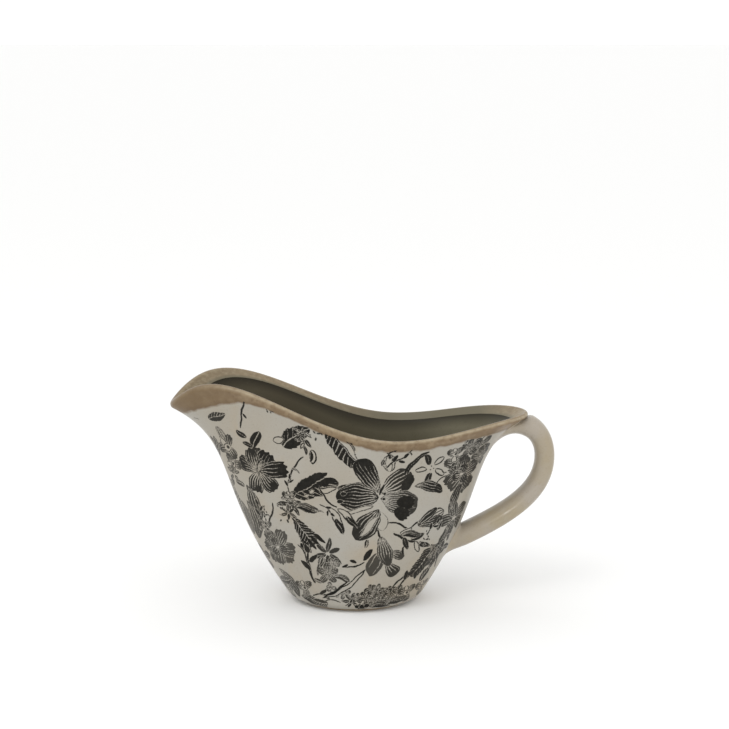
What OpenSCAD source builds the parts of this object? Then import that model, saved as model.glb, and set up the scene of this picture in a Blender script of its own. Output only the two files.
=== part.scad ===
// Glazed porcelain cream jug: a slip-cast body with a pulled-out spout, a luted loop handle,
// a stained lip and printed transfers. Millimetres, +Z up, spout towards -X, handle towards +X.
// The origin is the centre of the foot, on the surface that the jug stands on.

/* [Body] */
// Length of the mouth in plan, from the spout's tip to the rear of the lip
mouth_length = 183.2; // [150:0.1:225]
// Width of the mouth in plan
mouth_width = 79; // [62:0.5:98]
// How far the middle of the mouth leans towards the spout
mouth_lean = 2.7; // [0:0.1:8]
// Share by which the mouth is fuller towards the handle than towards the spout
mouth_egg = 0.05; // [0:0.01:0.15]
// Length of the base in plan
base_length = 64.4; // [52:0.1:78]
// Width of the base in plan
base_width = 60; // [48:0.5:72]
// Height of the lip at the spout's tip
tip_height = 102.1; // [88:0.1:118]
// Height of the lip at its highest, on either side of the spout
crest_height = 115.5; // [100:0.1:136]
// Height of the lip at its lowest, halfway along each side
dip_height = 89.7; // [76:0.1:106]
// Height of the lip above the handle
heel_height = 97; // [82:0.1:114]
// Angle in plan of the crest, counted from the handle
crest_angle = 137; // [125:1:148]
// Angle in plan of the dip, counted from the handle
dip_angle = 74; // [62:1:86]
// Share of the widening that the round belly makes; the flared lip makes the rest
belly_share = 0.62; // [0.5:0.01:0.8]
// How early the belly widens
belly_power = 1.94; // [1.5:0.02:2.4]
// How late the lip flares
flare_power = 8.2; // [6:0.1:11]
// Thickness of the cast wall
wall = 4; // [3:0.1:5.5]
// Thickness of the floor
floor_thickness = 5; // [3.5:0.1:8]
// Radius of the rounded edge between wall and underside
foot_round = 4; // [2.5:0.1:6]
// Radius of the corner between wall and floor inside the jug
floor_round = 7; // [3:0.5:12]

/* [Lip] */
// Radius of the rolled edge along the lip
lip_round = 1.3; // [1:0.05:2]
// Radius of the rolled edge at the spout's tip
spout_round = 2.4; // [1.5:0.05:3]
// Drop of the sloping land from the lip to its inner edge
land_drop = 2.6; // [1.5:0.1:4]
// Radius of the land's inner edge
land_round = 1.5; // [0.8:0.1:2.5]

/* [Foot ring] */
// Height of the bare foot ring under the floor
foot_height = 1.2; // [0.8:0.1:3]
// Width of the foot ring's tread
foot_width = 4; // [2.5:0.1:6]
// Distance from the base outline in to the foot ring
foot_inset = 4.5; // [4:0.1:8]

/* [Handle] */
// Thickness of the loop in side view
handle_thickness = 10.3; // [8:0.1:13]
// Width of the loop from side to side
handle_width = 13; // [10:0.1:17]
// Thickness of the loop where it leaves the lip
root_thickness = 11.8; // [9:0.1:14]
// Width of the loop where it leaves the lip
root_width = 18; // [13:0.5:22]
// Thickness of the loop where it comes back to the wall
tail_thickness = 11.3; // [9:0.1:14]
// Width of the loop where it comes back to the wall
tail_width = 15; // [11:0.5:17]
// How far the loop's centreline stands out behind the lip
handle_reach = 9.9; // [6:0.1:16]
// Level of the loop's outermost point, below the lip above the handle
handle_shoulder = 21.5; // [17:0.5:28]
// Height on the wall at which the loop comes back, as a share of the wall's height
tail_level = 0.32; // [0.28:0.01:0.4]
// Angle at which the loop comes back, from the horizontal
tail_angle = 25; // [15:1:35]

/* [Slip joints] */
// Half width of the upper joint's footprint on the wall
upper_half_width = 11.6; // [9:0.1:11.8]
// Length of the upper joint's footprint down the wall
upper_length = 17; // [14:0.5:20]
// Half width of the lower joint's footprint on the wall
lower_half_width = 9.2; // [7.5:0.1:9.4]
// Half length of the lower joint's footprint along the wall's height
lower_half_length = 10.6; // [9:0.1:12]
// Length of the lower joint along the loop
lower_reach = 8; // [6:0.5:11]

/* [Coats] */
// Thickness of the glaze lining inside the jug
glaze = 0.3; // [0.2:0.05:0.5]
// Thickness of the stained coat over the lip
stain = 0.25; // [0.15:0.05:0.5]
// Thickness of the printed transfers
transfer = 0.2; // [0.15:0.05:0.4]
// Depth of the stained coat below the lip, at the dip
stain_depth = 2.4; // [1.5:0.1:6]
// Depth of the stained coat below the lip, beside the spout and the handle
stain_depth_ends = 5.6; // [3:0.1:9]

/* [Hidden] */

columns = 60;           // points round the jug, 6 degrees apart
turn = 360 / columns;
bare = 3;               // columns on each side of the handle that carry no print
foot_rows = 5;          // rows round the underside's edge
print_rows = 14;        // rows up the printed wall
stain_rows = 3;         // rows up the stained band
roll_rows = 5;          // rows over the lip's rolled edge
edge_rows = 4;          // rows round the land's inner edge
lining_rows = 12;       // rows down the inner wall
corner_rows = 5;        // rows round the inner corner
sides = 24;             // points round the handle
loop_rows = 13;         // rows along each of the handle's two curves
joint_rows = 6;         // rows along a slip joint
seat_rows = 3;          // rows across a joint's seat on the wall

// ---- the wall's surface ----

function mix(a, b, k) = a + (b - a) * k;
function ease(a, b, k) = mix(a, b, (1 - cos(180 * min(1, max(0, k)))) / 2);
function unit(p) = p / norm(p);
function folded(t) = abs(t > 180 ? t - 360 : t);

// Height of the lip at plan angle t: three smooth waves from heel to dip, crest and tip
function lip_height(t) =
    let (q = folded(t))
    q < dip_angle ? ease(dip_height, heel_height, (cos(q) - cos(dip_angle)) / (1 - cos(dip_angle)))
    : q < crest_angle ? ease(crest_height, dip_height, (crest_angle - q) / (crest_angle - dip_angle))
    : ease(crest_height, tip_height, (q - crest_angle) / (180 - crest_angle));

// Share of the widening from base to mouth that is reached at share v of the height
function widening(v) =
    belly_share * (1 - pow(max(0, 1 - v), belly_power)) + (1 - belly_share) * pow(v, flare_power);

// Half sizes, shift and fullness of the oval at share v of the height
function half_length(v) = mix(base_length, mouth_length, widening(v)) / 2;
function half_width(v) = mix(base_width, mouth_width, widening(v)) / 2;
function lean(v) = -mouth_lean * widening(v);
function egg(v) = mouth_egg * widening(v);

// Direction in plan that points straight out of the oval
function plan_out(t, v) =
    unit([half_width(v) * (cos(t) + egg(v) * cos(2 * t)), half_length(v) * sin(t)]);

// Point of the oval at plan angle t, moved in by inset
function plan_point(t, v, inset = 0) =
    [lean(v) + half_length(v) * cos(t), half_width(v) * sin(t) * (1 + egg(v) * cos(t))]
    - inset * plan_out(t, v);

function wall_point(t, v, inset = 0) = concat(plan_point(t, v, inset), [v * lip_height(t)]);

// Angle below the horizontal at which the wall's outside faces at the lip
function lip_lean(t) =
    let (out = plan_out(t, 1))
    let (run = (1 - belly_share) * flare_power
        * ((mouth_length - base_length) / 2 * cos(t) * out[0]
        + (mouth_width - base_width) / 2 * sin(t) * out[1] - mouth_lean * out[0]))
    -atan(run / lip_height(t));

// The rolled edge carries on from the wall, from the lip's lean up and over
function roll_radius(t) = mix(lip_round, spout_round, pow((1 - cos(t)) / 2, 4));
function roll_point(t, angle) =
    let (out = plan_out(t, 1))
    let (r = roll_radius(t), start = lip_lean(t))
    wall_point(t, 1) + r * (concat(out * cos(angle), [sin(angle)])
        - concat(out * cos(start), [sin(start)]));

// Corner where the land meets the inner wall, and the angle at which the roll runs on to the land
function land_share(t) = 1 - land_drop / lip_height(t);
function land_corner(t) = wall_point(t, land_share(t), wall);
function roll_end(t) =
    let (top = roll_point(t, 90), corner = land_corner(t))
    90 + atan2(top[2] - corner[2], norm([top[0] - corner[0], top[1] - corner[1]]));
function land_start(t) = roll_point(t, roll_end(t));
function edge_start(t) = land_corner(t) + land_round * unit(land_start(t) - land_corner(t));
function edge_share(t) = land_share(t) - land_round / lip_height(t);

// ---- rows of the body, from the underside's edge up, over the lip and down to the floor ----

function low_share(t) = (foot_height + foot_round) / lip_height(t);
function stain_share(t) =
    1 - mix(0.4, mix(stain_depth, stain_depth_ends, pow(cos(t), 2)),
        ease(0, 1, (folded(t) / turn - bare) / 2)) / lip_height(t);
floor_level = foot_height + floor_thickness;
function floor_share(t) = (floor_level + floor_round) / lip_height(t);

function foot_point(t, angle) =
    let (z = foot_height + foot_round * (1 - cos(angle)))
    concat(plan_point(t, z / lip_height(t), foot_round * (1 - sin(angle))), [z]);
function corner_point(t, angle) =
    let (z = floor_level + floor_round * (1 - cos(angle)))
    concat(plan_point(t, z / lip_height(t), wall + floor_round * (1 - sin(angle))), [z]);
function edge_point(t, k) =
    edge_start(t) * pow(1 - k, 2) + land_corner(t) * 2 * k * (1 - k)
    + wall_point(t, edge_share(t), wall) * k * k;

foot_part = [for (j = [0:foot_rows - 1]) [for (i = [0:columns - 1])
    foot_point(i * turn, 90 * j / foot_rows)]];
print_part = [for (j = [0:print_rows]) [for (i = [0:columns - 1])
    wall_point(i * turn, mix(low_share(i * turn), stain_share(i * turn), j / print_rows))]];
stain_part = [for (j = [1:stain_rows]) [for (i = [0:columns - 1])
    wall_point(i * turn, mix(stain_share(i * turn), 1, j / stain_rows))]];
roll_part = [for (j = [1:roll_rows]) [for (i = [0:columns - 1])
    roll_point(i * turn, mix(lip_lean(i * turn), roll_end(i * turn), j / roll_rows))]];
edge_part = [for (j = [0:edge_rows]) [for (i = [0:columns - 1]) edge_point(i * turn, j / edge_rows)]];
inner_part = [for (j = [1:lining_rows]) [for (i = [0:columns - 1])
    wall_point(i * turn, mix(edge_share(i * turn), floor_share(i * turn), j / lining_rows), wall)]];
corner_part = [for (j = [1:corner_rows]) [for (i = [0:columns - 1])
    corner_point(i * turn, 90 * (1 - j / corner_rows))]];

body_part = concat(foot_part, print_part, stain_part, roll_part, edge_part, inner_part, corner_part);
stain_first = foot_rows + print_rows;
edge_first = stain_first + stain_rows + roll_rows + 1;
lining_first = edge_first + 1;

// ---- meshes made from rows of points ----

function flat(rows) = [for (row = rows) each row];
function faces_of(a, b, c, d) = [[a, b, c], [a, c, d]];

// Two triangles for each cell of a grid, facing the side from which the rows run up and left to right
function grid(rows, count, wrap = true, first = 0, flip = false) =
    [for (j = [0:rows - 2], i = [0:count - (wrap ? 1 : 2)])
        let (n = (i + 1) % count)
        let (a = first + j * count + i, b = first + j * count + n)
        let (c = first + (j + 1) * count + n, d = first + (j + 1) * count + i)
        each flip ? faces_of(a, b, c, d) : faces_of(a, d, c, b)];

// Triangles that join two equally long lists of point numbers
function band(low, high, wrap = true) =
    [for (i = [0:len(low) - (wrap ? 1 : 2)])
        let (n = (i + 1) % len(low))
        each faces_of(low[i], high[i], high[n], low[n])];
function numbers(first, count, step = 1) = [for (i = [0:count - 1]) first + i * step];
function fan(ring, middle) = [for (i = [0:len(ring) - 1]) [ring[i], ring[(i + 1) % len(ring)], middle]];
function reversed(list) = [for (i = [len(list) - 1:-1:0]) list[i]];

// The rows moved out by a coat's thickness, square to the surface that they span
function lifted(rows, thickness, wrap = true) =
    [for (j = [0:len(rows) - 1]) [for (i = [0:len(rows[j]) - 1])
        let (count = len(rows[j]))
        let (up = rows[min(j + 1, len(rows) - 1)][i] - rows[max(j - 1, 0)][i])
        let (next = wrap ? (i + 1) % count : min(i + 1, count - 1))
        let (last = wrap ? (i + count - 1) % count : max(i - 1, 0))
        rows[j][i] + thickness * unit(cross(rows[j][next] - rows[j][last], up))]];

// A coat that runs all the way round: the rows below, the lifted rows above, and two closing edges
module round_coat(rows, thickness) {
    size = len(rows) * columns;
    last = size - columns;
    polyhedron(concat(flat(rows), flat(lifted(rows, thickness))), concat(
        grid(len(rows), columns, first = 0, flip = true),
        grid(len(rows), columns, first = size),
        band(numbers(0, columns), numbers(size, columns)),
        band(numbers(size + last, columns), numbers(last, columns))));
}

// A coat over part of the wall, with four closing edges
module sheet_coat(rows, thickness) {
    count = len(rows[0]);
    size = len(rows) * count;
    last = size - count;
    rim = concat(numbers(0, count), numbers(2 * count - 1, len(rows) - 2, count),
        reversed(numbers(last, count)), reversed(numbers(count, len(rows) - 2, count)));
    polyhedron(concat(flat(rows), flat(lifted(rows, thickness, false))), concat(
        grid(len(rows), count, false, 0, true),
        grid(len(rows), count, false, size),
        band(rim, [for (i = rim) i + size])));
}

// ---- the handle ----

heel = wall_point(0, 1);
root = wall_point(0, 0.953);
tail = wall_point(0, tail_level);
back = heel[0] + handle_reach;
tail_run = 29;          // length of the straight pull into the lower joint
upper_curve = [root, [heel[0] - 0.9, 0, heel[2] - 2], [back, 0, heel[2] - 7.5],
    [back, 0, heel[2] - handle_shoulder]];
lower_curve = [upper_curve[3], [back, 0, heel[2] - 2 * handle_shoulder + 1],
    tail + tail_run * [cos(tail_angle), 0, sin(tail_angle)], tail];
loop_start = 0.4;       // where the upper joint ends on the upper curve
loop_end = 1 - lower_reach / tail_run / 3;

function bezier(p, k) =
    p[0] * pow(1 - k, 3) + p[1] * 3 * k * pow(1 - k, 2) + p[2] * 3 * k * k * (1 - k) + p[3] * pow(k, 3);
function heading(p, k) =
    unit((p[1] - p[0]) * pow(1 - k, 2) + (p[2] - p[1]) * 2 * k * (1 - k) + (p[3] - p[2]) * k * k);

// Sizes along the loop, where k runs from 0 at the lip to 2 at the wall
function loop_thickness(k) =
    k < 1 ? ease(root_thickness, handle_thickness, k) : ease(handle_thickness, tail_thickness, k - 1);
function loop_width(k) =
    k < 1 ? ease(root_width, handle_width, k) : ease(handle_width, tail_width, k - 1);

// A rounded section: its first point is on the outside of the loop
function soft(x) = sign(x) * pow(abs(x), 0.88);
function section(k) =
    let (curve = k < 1 ? upper_curve : lower_curve, s = k < 1 ? k : k - 1)
    let (ahead = heading(curve, s))
    let (out = [-ahead[2], 0, ahead[0]])
    [for (i = [0:sides - 1])
        bezier(curve, s) + out * soft(cos(360 * i / sides)) * loop_thickness(k) / 2
        + [0, 1, 0] * soft(sin(360 * i / sides)) * loop_width(k) / 2];

loop_part = concat(
    [for (j = [0:loop_rows - 1]) section(mix(loop_start, 1, j / loop_rows))],
    [for (j = [0:loop_rows]) section(mix(1, 1 + loop_end, j / loop_rows))]);

// Seat of a joint: a point of the wall, or of the rolled edge once level passes the wall's top
function seat_point(level, y) =
    let (v = min(1, level / heel_height))
    let (t = asin(y / half_width(v)))
    let (h = lip_height(t))
    level <= heel_height ? wall_point(t, v) : roll_point(t, lip_lean(t) + (level - h) / lip_round * 57.3);
function seat(middle, half_long, half_wide, scale) =
    [for (i = [0:sides - 1])
        seat_point(middle + half_long * scale * cos(360 * i / sides),
            half_wide * scale * sin(360 * i / sides))];

// A concave fillet of slip from the seat to the loop's end ring
module slip_joint(middle, half_long, half_wide, ring, pull) {
    foot = seat(middle, half_long, half_wide, 1);
    flare = [for (j = [0:joint_rows]) [for (i = [0:sides - 1])
        let (bend = ring[i] + pull * norm(foot[i] - ring[i]) * 0.52)
        let (k = j / joint_rows)
        foot[i] * pow(1 - k, 2) + bend * 2 * k * (1 - k) + ring[i] * k * k]];
    inner = [for (j = [0:seat_rows - 2]) seat(middle, half_long, half_wide, (j + 1) / seat_rows)];
    rows = concat(inner, flare);
    size = len(rows) * sides;
    polyhedron(concat(flat(rows), [seat_point(middle, 0), sum(ring) / sides]), concat(
        grid(len(rows), sides, flip = true),
        fan(reversed(numbers(0, sides)), size),
        fan(numbers(size - sides, sides), size + 1)));
}
function sum(list) = [for (axis = [0:2]) [for (p = list) p[axis]] * [for (p = list) 1]];

// ---- sub-parts ----

// Cast shell with its floor, in one piece
module body() {
    size = len(body_part) * columns;
    color("#b9b1a7")
    polyhedron(concat(flat(body_part), [[0, 0, foot_height], [0, 0, floor_level]]), concat(
        grid(len(body_part), columns),
        fan(numbers(0, columns), size),
        fan(reversed(numbers(size - columns, columns)), size + 1)));
}

// Bare tread that the jug stands on
module foot_ring() {
    color("#a08f7a")
    linear_extrude(foot_height) difference() {
        polygon([for (i = [0:columns - 1]) plan_point(i * turn, 0, foot_inset)]);
        polygon([for (i = [0:columns - 1]) plan_point(i * turn, 0, foot_inset + foot_width)]);
    }
}

// Loop handle, between its two slip joints
module handle() {
    size = len(loop_part) * sides;
    color("#b0a696")
    polyhedron(concat(flat(loop_part), [sum(loop_part[0]) / sides,
            sum(loop_part[len(loop_part) - 1]) / sides]), concat(
        grid(len(loop_part), sides, flip = true),
        fan(reversed(numbers(0, sides)), size),
        fan(numbers(size - sides, sides), size + 1)));
}

// Slip that joins the loop to the back of the lip
module upper_joint() {
    color("#aca08e")
    slip_joint(heel_height - upper_length / 2 + 0.2, upper_length / 2, upper_half_width,
        loop_part[0], -heading(upper_curve, loop_start));
}

// Slip that joins the loop to the wall
module lower_joint() {
    last = loop_part[len(loop_part) - 1];
    color("#aca08e")
    slip_joint(tail[2], lower_half_length, lower_half_width,
        [for (i = [0:sides - 1]) last[(sides / 2 - i + sides) % sides]],
        heading(lower_curve, loop_end));
}

// Iron-brown stain over the lip and the land
module rim_stain() {
    color("#8f7c68")
    round_coat([for (j = [stain_first:edge_first]) body_part[j]], stain);
}

// Glaze over the inner wall and the floor
module glaze_lining() {
    rows = [for (j = [lining_first:len(body_part) - 1]) body_part[j]];
    top = lifted(rows, glaze);
    size = len(rows) * columns;
    last = size - columns;
    color("#7f7a68")
    polyhedron(concat(flat(rows), flat(top), [[0, 0, floor_level], [0, 0, floor_level + glaze]]), concat(
        grid(len(rows), columns, first = 0, flip = true),
        grid(len(rows), columns, first = size),
        band(numbers(0, columns), numbers(size, columns)),
        fan(numbers(last, columns), 2 * size),
        fan(reversed(numbers(size + last, columns)), 2 * size + 1)));
}

// Printed transfer on the side that faces -Y
module transfer_left() {
    color("#4a4a44")
    sheet_coat([for (row = print_part) [for (i = [columns / 2:columns - bare]) row[i]]], transfer);
}

// Printed transfer on the side that faces +Y
module transfer_right() {
    color("#55554e")
    sheet_coat([for (row = print_part) [for (i = [bare:columns / 2]) row[i]]], transfer);
}

body();
foot_ring();
handle();
upper_joint();
lower_joint();
rim_stain();
glaze_lining();
transfer_left();
transfer_right();
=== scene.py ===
import math

import bpy
import numpy as np
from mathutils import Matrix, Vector


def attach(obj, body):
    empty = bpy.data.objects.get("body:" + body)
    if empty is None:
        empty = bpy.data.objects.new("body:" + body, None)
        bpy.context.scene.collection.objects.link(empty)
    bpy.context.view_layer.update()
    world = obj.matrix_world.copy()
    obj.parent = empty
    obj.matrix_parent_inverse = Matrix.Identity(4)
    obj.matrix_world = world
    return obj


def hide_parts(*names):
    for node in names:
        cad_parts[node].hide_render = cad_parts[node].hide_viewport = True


# Glazed porcelain cream jug: cast body, loop handle, stained lip and dark floral transfers.
# Shapes are worked out in millimetres and degrees and turned to metres when a mesh is made.
# Plan angles t run from 0 at the handle to 180 at the spout's tip, and on the left side on to 360.

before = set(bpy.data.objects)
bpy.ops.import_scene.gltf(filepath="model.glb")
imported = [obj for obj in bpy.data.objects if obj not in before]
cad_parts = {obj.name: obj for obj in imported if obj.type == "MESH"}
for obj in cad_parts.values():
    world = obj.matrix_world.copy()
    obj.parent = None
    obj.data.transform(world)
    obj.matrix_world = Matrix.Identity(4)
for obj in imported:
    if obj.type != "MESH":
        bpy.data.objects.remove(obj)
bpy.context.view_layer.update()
millimetre = 0.001

# Sizes of the body, the same as in the CAD model
jug = dict(
    mouthLength=183.2, mouthWidth=79, mouthLean=2.7, mouthEgg=0.05,
    baseLength=64.4, baseWidth=60,
    tipHeight=102.1, crestHeight=115.5, dipHeight=89.7, heelHeight=97,
    crestAngle=137, dipAngle=74,
    bellyShare=0.62, bellyPower=1.94, flarePower=8.2,
    wall=4, footHeight=1.2, footRound=4, floorLevel=6.2, floorRound=7,
    lipRound=1.3, spoutRound=2.4, landDrop=2.6, landRound=1.5,
)


# Cosine of degrees
def cosd(angle):
    return np.cos(np.radians(angle))


# Sine of degrees
def sind(angle):
    return np.sin(np.radians(angle))


# a + (b - a) k
def mixed(a, b, k):
    return a + (b - a) * k


# From a to b along half a cosine wave, as k goes from 0 to 1
def eased(a, b, k):
    return mixed(a, b, (1 - np.cos(np.pi * np.clip(k, 0, 1))) / 2)


# p / |p|
def unit(p):
    return p / np.maximum(np.linalg.norm(p, axis=-1, keepdims=True), 1e-12)


# The plan angle from the handle on either side: |(t + 180) mod 360 - 180|
def folded(t):
    return np.abs((t + 180) % 360 - 180)


# Height of the lip: three half waves, from the heel to the dip, the crest and the tip
def lipHeight(t):
    q = folded(t)
    dip, crest = jug["dipAngle"], jug["crestAngle"]
    rear = eased(jug["dipHeight"], jug["heelHeight"], (cosd(q) - cosd(dip)) / (1 - cosd(dip)))
    middle = eased(jug["crestHeight"], jug["dipHeight"], (crest - q) / (crest - dip))
    front = eased(jug["crestHeight"], jug["tipHeight"], (q - crest) / (180 - crest))
    return np.where(q < dip, rear, np.where(q < crest, middle, front))


# Share of the widening at share v of the height: b (1 - (1 - v)^p) + (1 - b) v^q
def widening(v):
    belly = jug["bellyShare"]
    rising = 1 - np.maximum(0, 1 - v) ** jug["bellyPower"]
    return belly * rising + (1 - belly) * v ** jug["flarePower"]


# Half length and half width of the oval: (base + (mouth - base) w) / 2
def halfSizes(v):
    w = widening(v)
    length = mixed(jug["baseLength"], jug["mouthLength"], w)
    return length / 2, mixed(jug["baseWidth"], jug["mouthWidth"], w) / 2


# Direction in plan square to the oval: (b (cos t + e cos 2t), a sin t), made one long
def planOut(t, v):
    halfLength, halfWidth = halfSizes(v)
    egg = jug["mouthEgg"] * widening(v)
    return unit(np.stack(np.broadcast_arrays(
        halfWidth * (cosd(t) + egg * cosd(2 * t)), halfLength * sind(t)), -1))


# Egg-shaped oval (a cos t - lean, b sin t (1 + e cos t)) at height z, moved in by inset
def ovalPoint(t, v, z, inset=0.0):
    halfLength, halfWidth = halfSizes(v)
    w = widening(v)
    out = planOut(t, v)
    x = halfLength * cosd(t) - jug["mouthLean"] * w - inset * out[..., 0]
    y = halfWidth * sind(t) * (1 + jug["mouthEgg"] * w * cosd(t)) - inset * out[..., 1]
    return np.stack(np.broadcast_arrays(x, y, z), -1)


# The wall: the oval at share v of the lip's height over the same plan angle
def wallPoint(t, v, inset=0.0):
    return ovalPoint(t, v, v * lipHeight(t), inset)


# Angle below the horizontal at which the wall faces where it meets the rolled edge: -atan(run / height), with
# the run that the flare would have over the whole height
def lipLean(t):
    out = planOut(t, 1.0)
    run = (1 - jug["bellyShare"]) * jug["flarePower"] * (
        (jug["mouthLength"] - jug["baseLength"]) / 2 * cosd(t) * out[..., 0]
        + (jug["mouthWidth"] - jug["baseWidth"]) / 2 * sind(t) * out[..., 1]
        - jug["mouthLean"] * out[..., 0])
    return -np.degrees(np.arctan(run / lipHeight(t)))


# Circle of radius r from the wall's own slope up and over. r grows towards the spout as ((1 - cos t) / 2)^4
def rollPoint(t, angle):
    out = planOut(t, 1.0)
    r = mixed(jug["lipRound"], jug["spoutRound"], ((1 - cosd(t)) / 2) ** 4)
    start = lipLean(t)
    across = r * (cosd(angle) - cosd(start))
    above = r * (sind(angle) - sind(start))
    return wallPoint(t, 1.0) + np.stack(np.broadcast_arrays(
        across * out[..., 0], across * out[..., 1], above), -1)


# Where the sloping land meets the inner wall: landDrop below the lip and one wall in
def landCorner(t):
    return wallPoint(t, 1 - jug["landDrop"] / lipHeight(t), jug["wall"])


# Angle where the rolled edge turns into the land: 90 + atan(fall / run) from its top to the corner
def rollEnd(t):
    gap = rollPoint(t, 90) - landCorner(t)
    return 90 + np.degrees(np.arctan2(gap[..., 2], np.linalg.norm(gap[..., :2], axis=-1)))


# Quadratic curve round the land's inner edge, from the land at k = 0 to the inner wall at k = 1
def edgePoint(t, k):
    corner = landCorner(t)
    start = corner + jug["landRound"] * unit(rollPoint(t, rollEnd(t)) - corner)
    end = wallPoint(t, edgeShare(t), jug["wall"])
    k = np.asarray(k)[..., None]
    return start * (1 - k) ** 2 + corner * 2 * k * (1 - k) + end * k * k


# Share of the height where the inner wall starts: 1 - (drop + round) / height
def edgeShare(t):
    return 1 - (jug["landDrop"] + jug["landRound"]) / lipHeight(t)


# Quarter circle from the underside to the wall: in by r (1 - sin a) and up by r (1 - cos a)
def footPoint(t, angle):
    z = jug["footHeight"] + jug["footRound"] * (1 - cosd(angle))
    return ovalPoint(t, z / lipHeight(t), z, jug["footRound"] * (1 - sind(angle)))


# The same inside, from the floor to the inner wall
def cornerPoint(t, angle):
    z = jug["floorLevel"] + jug["floorRound"] * (1 - cosd(angle))
    return ovalPoint(t, z / lipHeight(t), z, jug["wall"] + jug["floorRound"] * (1 - sind(angle)))


# Share of the height where the foot's rounding ends: (foot + round) / height
def lowShare(t):
    return (jug["footHeight"] + jug["footRound"]) / lipHeight(t)


# The coats in mm and degrees: bareAngle to each side of the handle stays unprinted, a degree there is about
# 0.7 mm long, and every coat's hidden face is sunk a little into the clay
coats = dict(
    bareAngle=18, bareSpread=12, stainDepth=2.4, stainDepthEnds=5.6, stainDepthBare=0.4,
    transfer=0.13, stain=0.13, glaze=0.3, thinEdge=0.03, taper=3.0, degree=0.7, footClear=0.6, sink=0.05,
)

# Depth of the brown band in mm: what is added at the handle and beside the spout and taken off at the nose
band = dict(depth=3.7, handle=2.0, handlePower=4, spout=4.2, spoutAngle=148, spoutSpread=20,
    nose=1.6, nosePower=12)

# Fields in mm for points far outside the band and far outside the ink
noStain = -9.0
noInk = -2.0


# Share of the height where the printed wall ends and the stained coat starts: 1 - depth / height, with a depth
# that goes from its least to its most as cos^2 t and is small over the bare strip
def stainShare(t):
    deep = mixed(coats["stainDepth"], coats["stainDepthEnds"], cosd(t) ** 2)
    beside = eased(0, 1, (folded(t) - coats["bareAngle"]) / coats["bareSpread"])
    return 1 - mixed(coats["stainDepthBare"], deep, beside) / lipHeight(t)


# depth + handle ((1 + cos q) / 2)^4 + spout exp(-((q - 148) / 20)^2) - nose ((1 - cos q) / 2)^12
def bandDepth(t):
    q = folded(t)
    rear = band["handle"] * ((1 + cosd(q)) / 2) ** band["handlePower"]
    beside = band["spout"] * np.exp(-((q - band["spoutAngle"]) / band["spoutSpread"]) ** 2)
    return band["depth"] + rear + beside - band["nose"] * ((1 - cosd(q)) / 2) ** band["nosePower"]


# Vertex normals of a grid: the cross product of its two directions
def gridNormals(points, wrap):
    if wrap:
        across = np.roll(points, -1, 1) - np.roll(points, 1, 1)
    else:
        across = np.gradient(points, axis=1)
    return unit(np.cross(across, np.gradient(points, axis=0)))


# Quads of a grid whose rows run up and whose columns run to the right as seen from outside: point j, i is
# number first + j columns + i
def gridFaces(rows, columns, wrap, first=0, flip=False):
    j, i = np.meshgrid(np.arange(rows - 1), np.arange(columns if wrap else columns - 1), indexing="ij")
    n = (i + 1) % columns
    low, high = j * columns, (j + 1) * columns
    faces = (first + np.stack([low + i, low + n, high + n, high + i], -1)).reshape(-1, 4)
    return faces[:, ::-1] if flip else faces


# Quads between two equally long rings of point numbers
def bandFaces(low, high):
    return np.stack([low, np.roll(low, -1), np.roll(high, -1), high], -1)


# Triangles from a ring to one middle point
def fanFaces(ring, middle):
    return np.stack([ring, np.roll(ring, -1), np.full(len(ring), middle)], -1)


# Makes the mesh in metres, with smooth shading, point fields and normals where given
def makePiece(name, points, faces, material, nodes=(), fields=None, normals=None):
    mesh = bpy.data.meshes.new(name)
    listed = [face for group in faces for face in group.tolist()]
    mesh.from_pydata(points * millimetre, [], listed)
    mesh.polygons.foreach_set("use_smooth", np.ones(len(mesh.polygons), bool))
    for field, values in (fields or {}).items():
        layer = mesh.attributes.new(field, "FLOAT", "POINT")
        layer.data.foreach_set("value", values.astype(np.float32))
    mesh.update()
    if normals is not None:
        mesh.normals_split_custom_set_from_vertices(normals.astype(np.float32))
    piece = bpy.data.objects.new(name, mesh)
    bpy.context.scene.collection.objects.link(piece)
    mesh.materials.append(material)
    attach(piece, "root")
    if nodes:
        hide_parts(*nodes)
    return piece


# sRGB hex to linear: ((c + 0.055) / 1.055)^2.4, or c / 12.92 when dark
def linearColour(colour):
    parts = [int(colour[i:i + 2], 16) / 255 for i in (1, 3, 5)]
    return [((c + 0.055) / 1.055) ** 2.4 if c > 0.04045 else c / 12.92 for c in parts] + [1.0]


# Adds a node. A setting goes to the node, and an input is a value, a hex colour, a node or (node, output)
def addNode(tree, kind, inputs=None, **settings):
    made = tree.nodes.new("ShaderNode" + kind)
    for key, value in settings.items():
        setattr(made, key, value)
    for key, value in (inputs or {}).items():
        if isinstance(value, str):
            value = linearColour(value)
        if isinstance(value, bpy.types.Node):
            value = (value, 0)
        if isinstance(value, tuple) and isinstance(value[0], bpy.types.Node):
            tree.links.new(value[0].outputs[value[1]], made.inputs[key])
        else:
            made.inputs[key].default_value = value
    return made


# A new material, its node tree and the place on the piece in metres
def startMaterial(name):
    material = bpy.data.materials.new(name)
    material.use_nodes = True
    tree = material.node_tree
    tree.nodes.clear()
    return material, tree, (addNode(tree, "TexCoord"), "Object")


# Lays one colour over another in patches of a size in mm: none where the noise is under low, most above high
def patched(tree, place, under, over, size, low, high, most=1.0, **noise):
    clouds = addNode(tree, "TexNoise", {"Vector": place, "Scale": 1000 / size, **noise})
    share = addNode(tree, "MapRange", {"Value": clouds, "From Min": low, "From Max": high, "To Max": most})
    return addNode(tree, "MixRGB", {"Fac": share, "Color1": under, "Color2": over})


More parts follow.
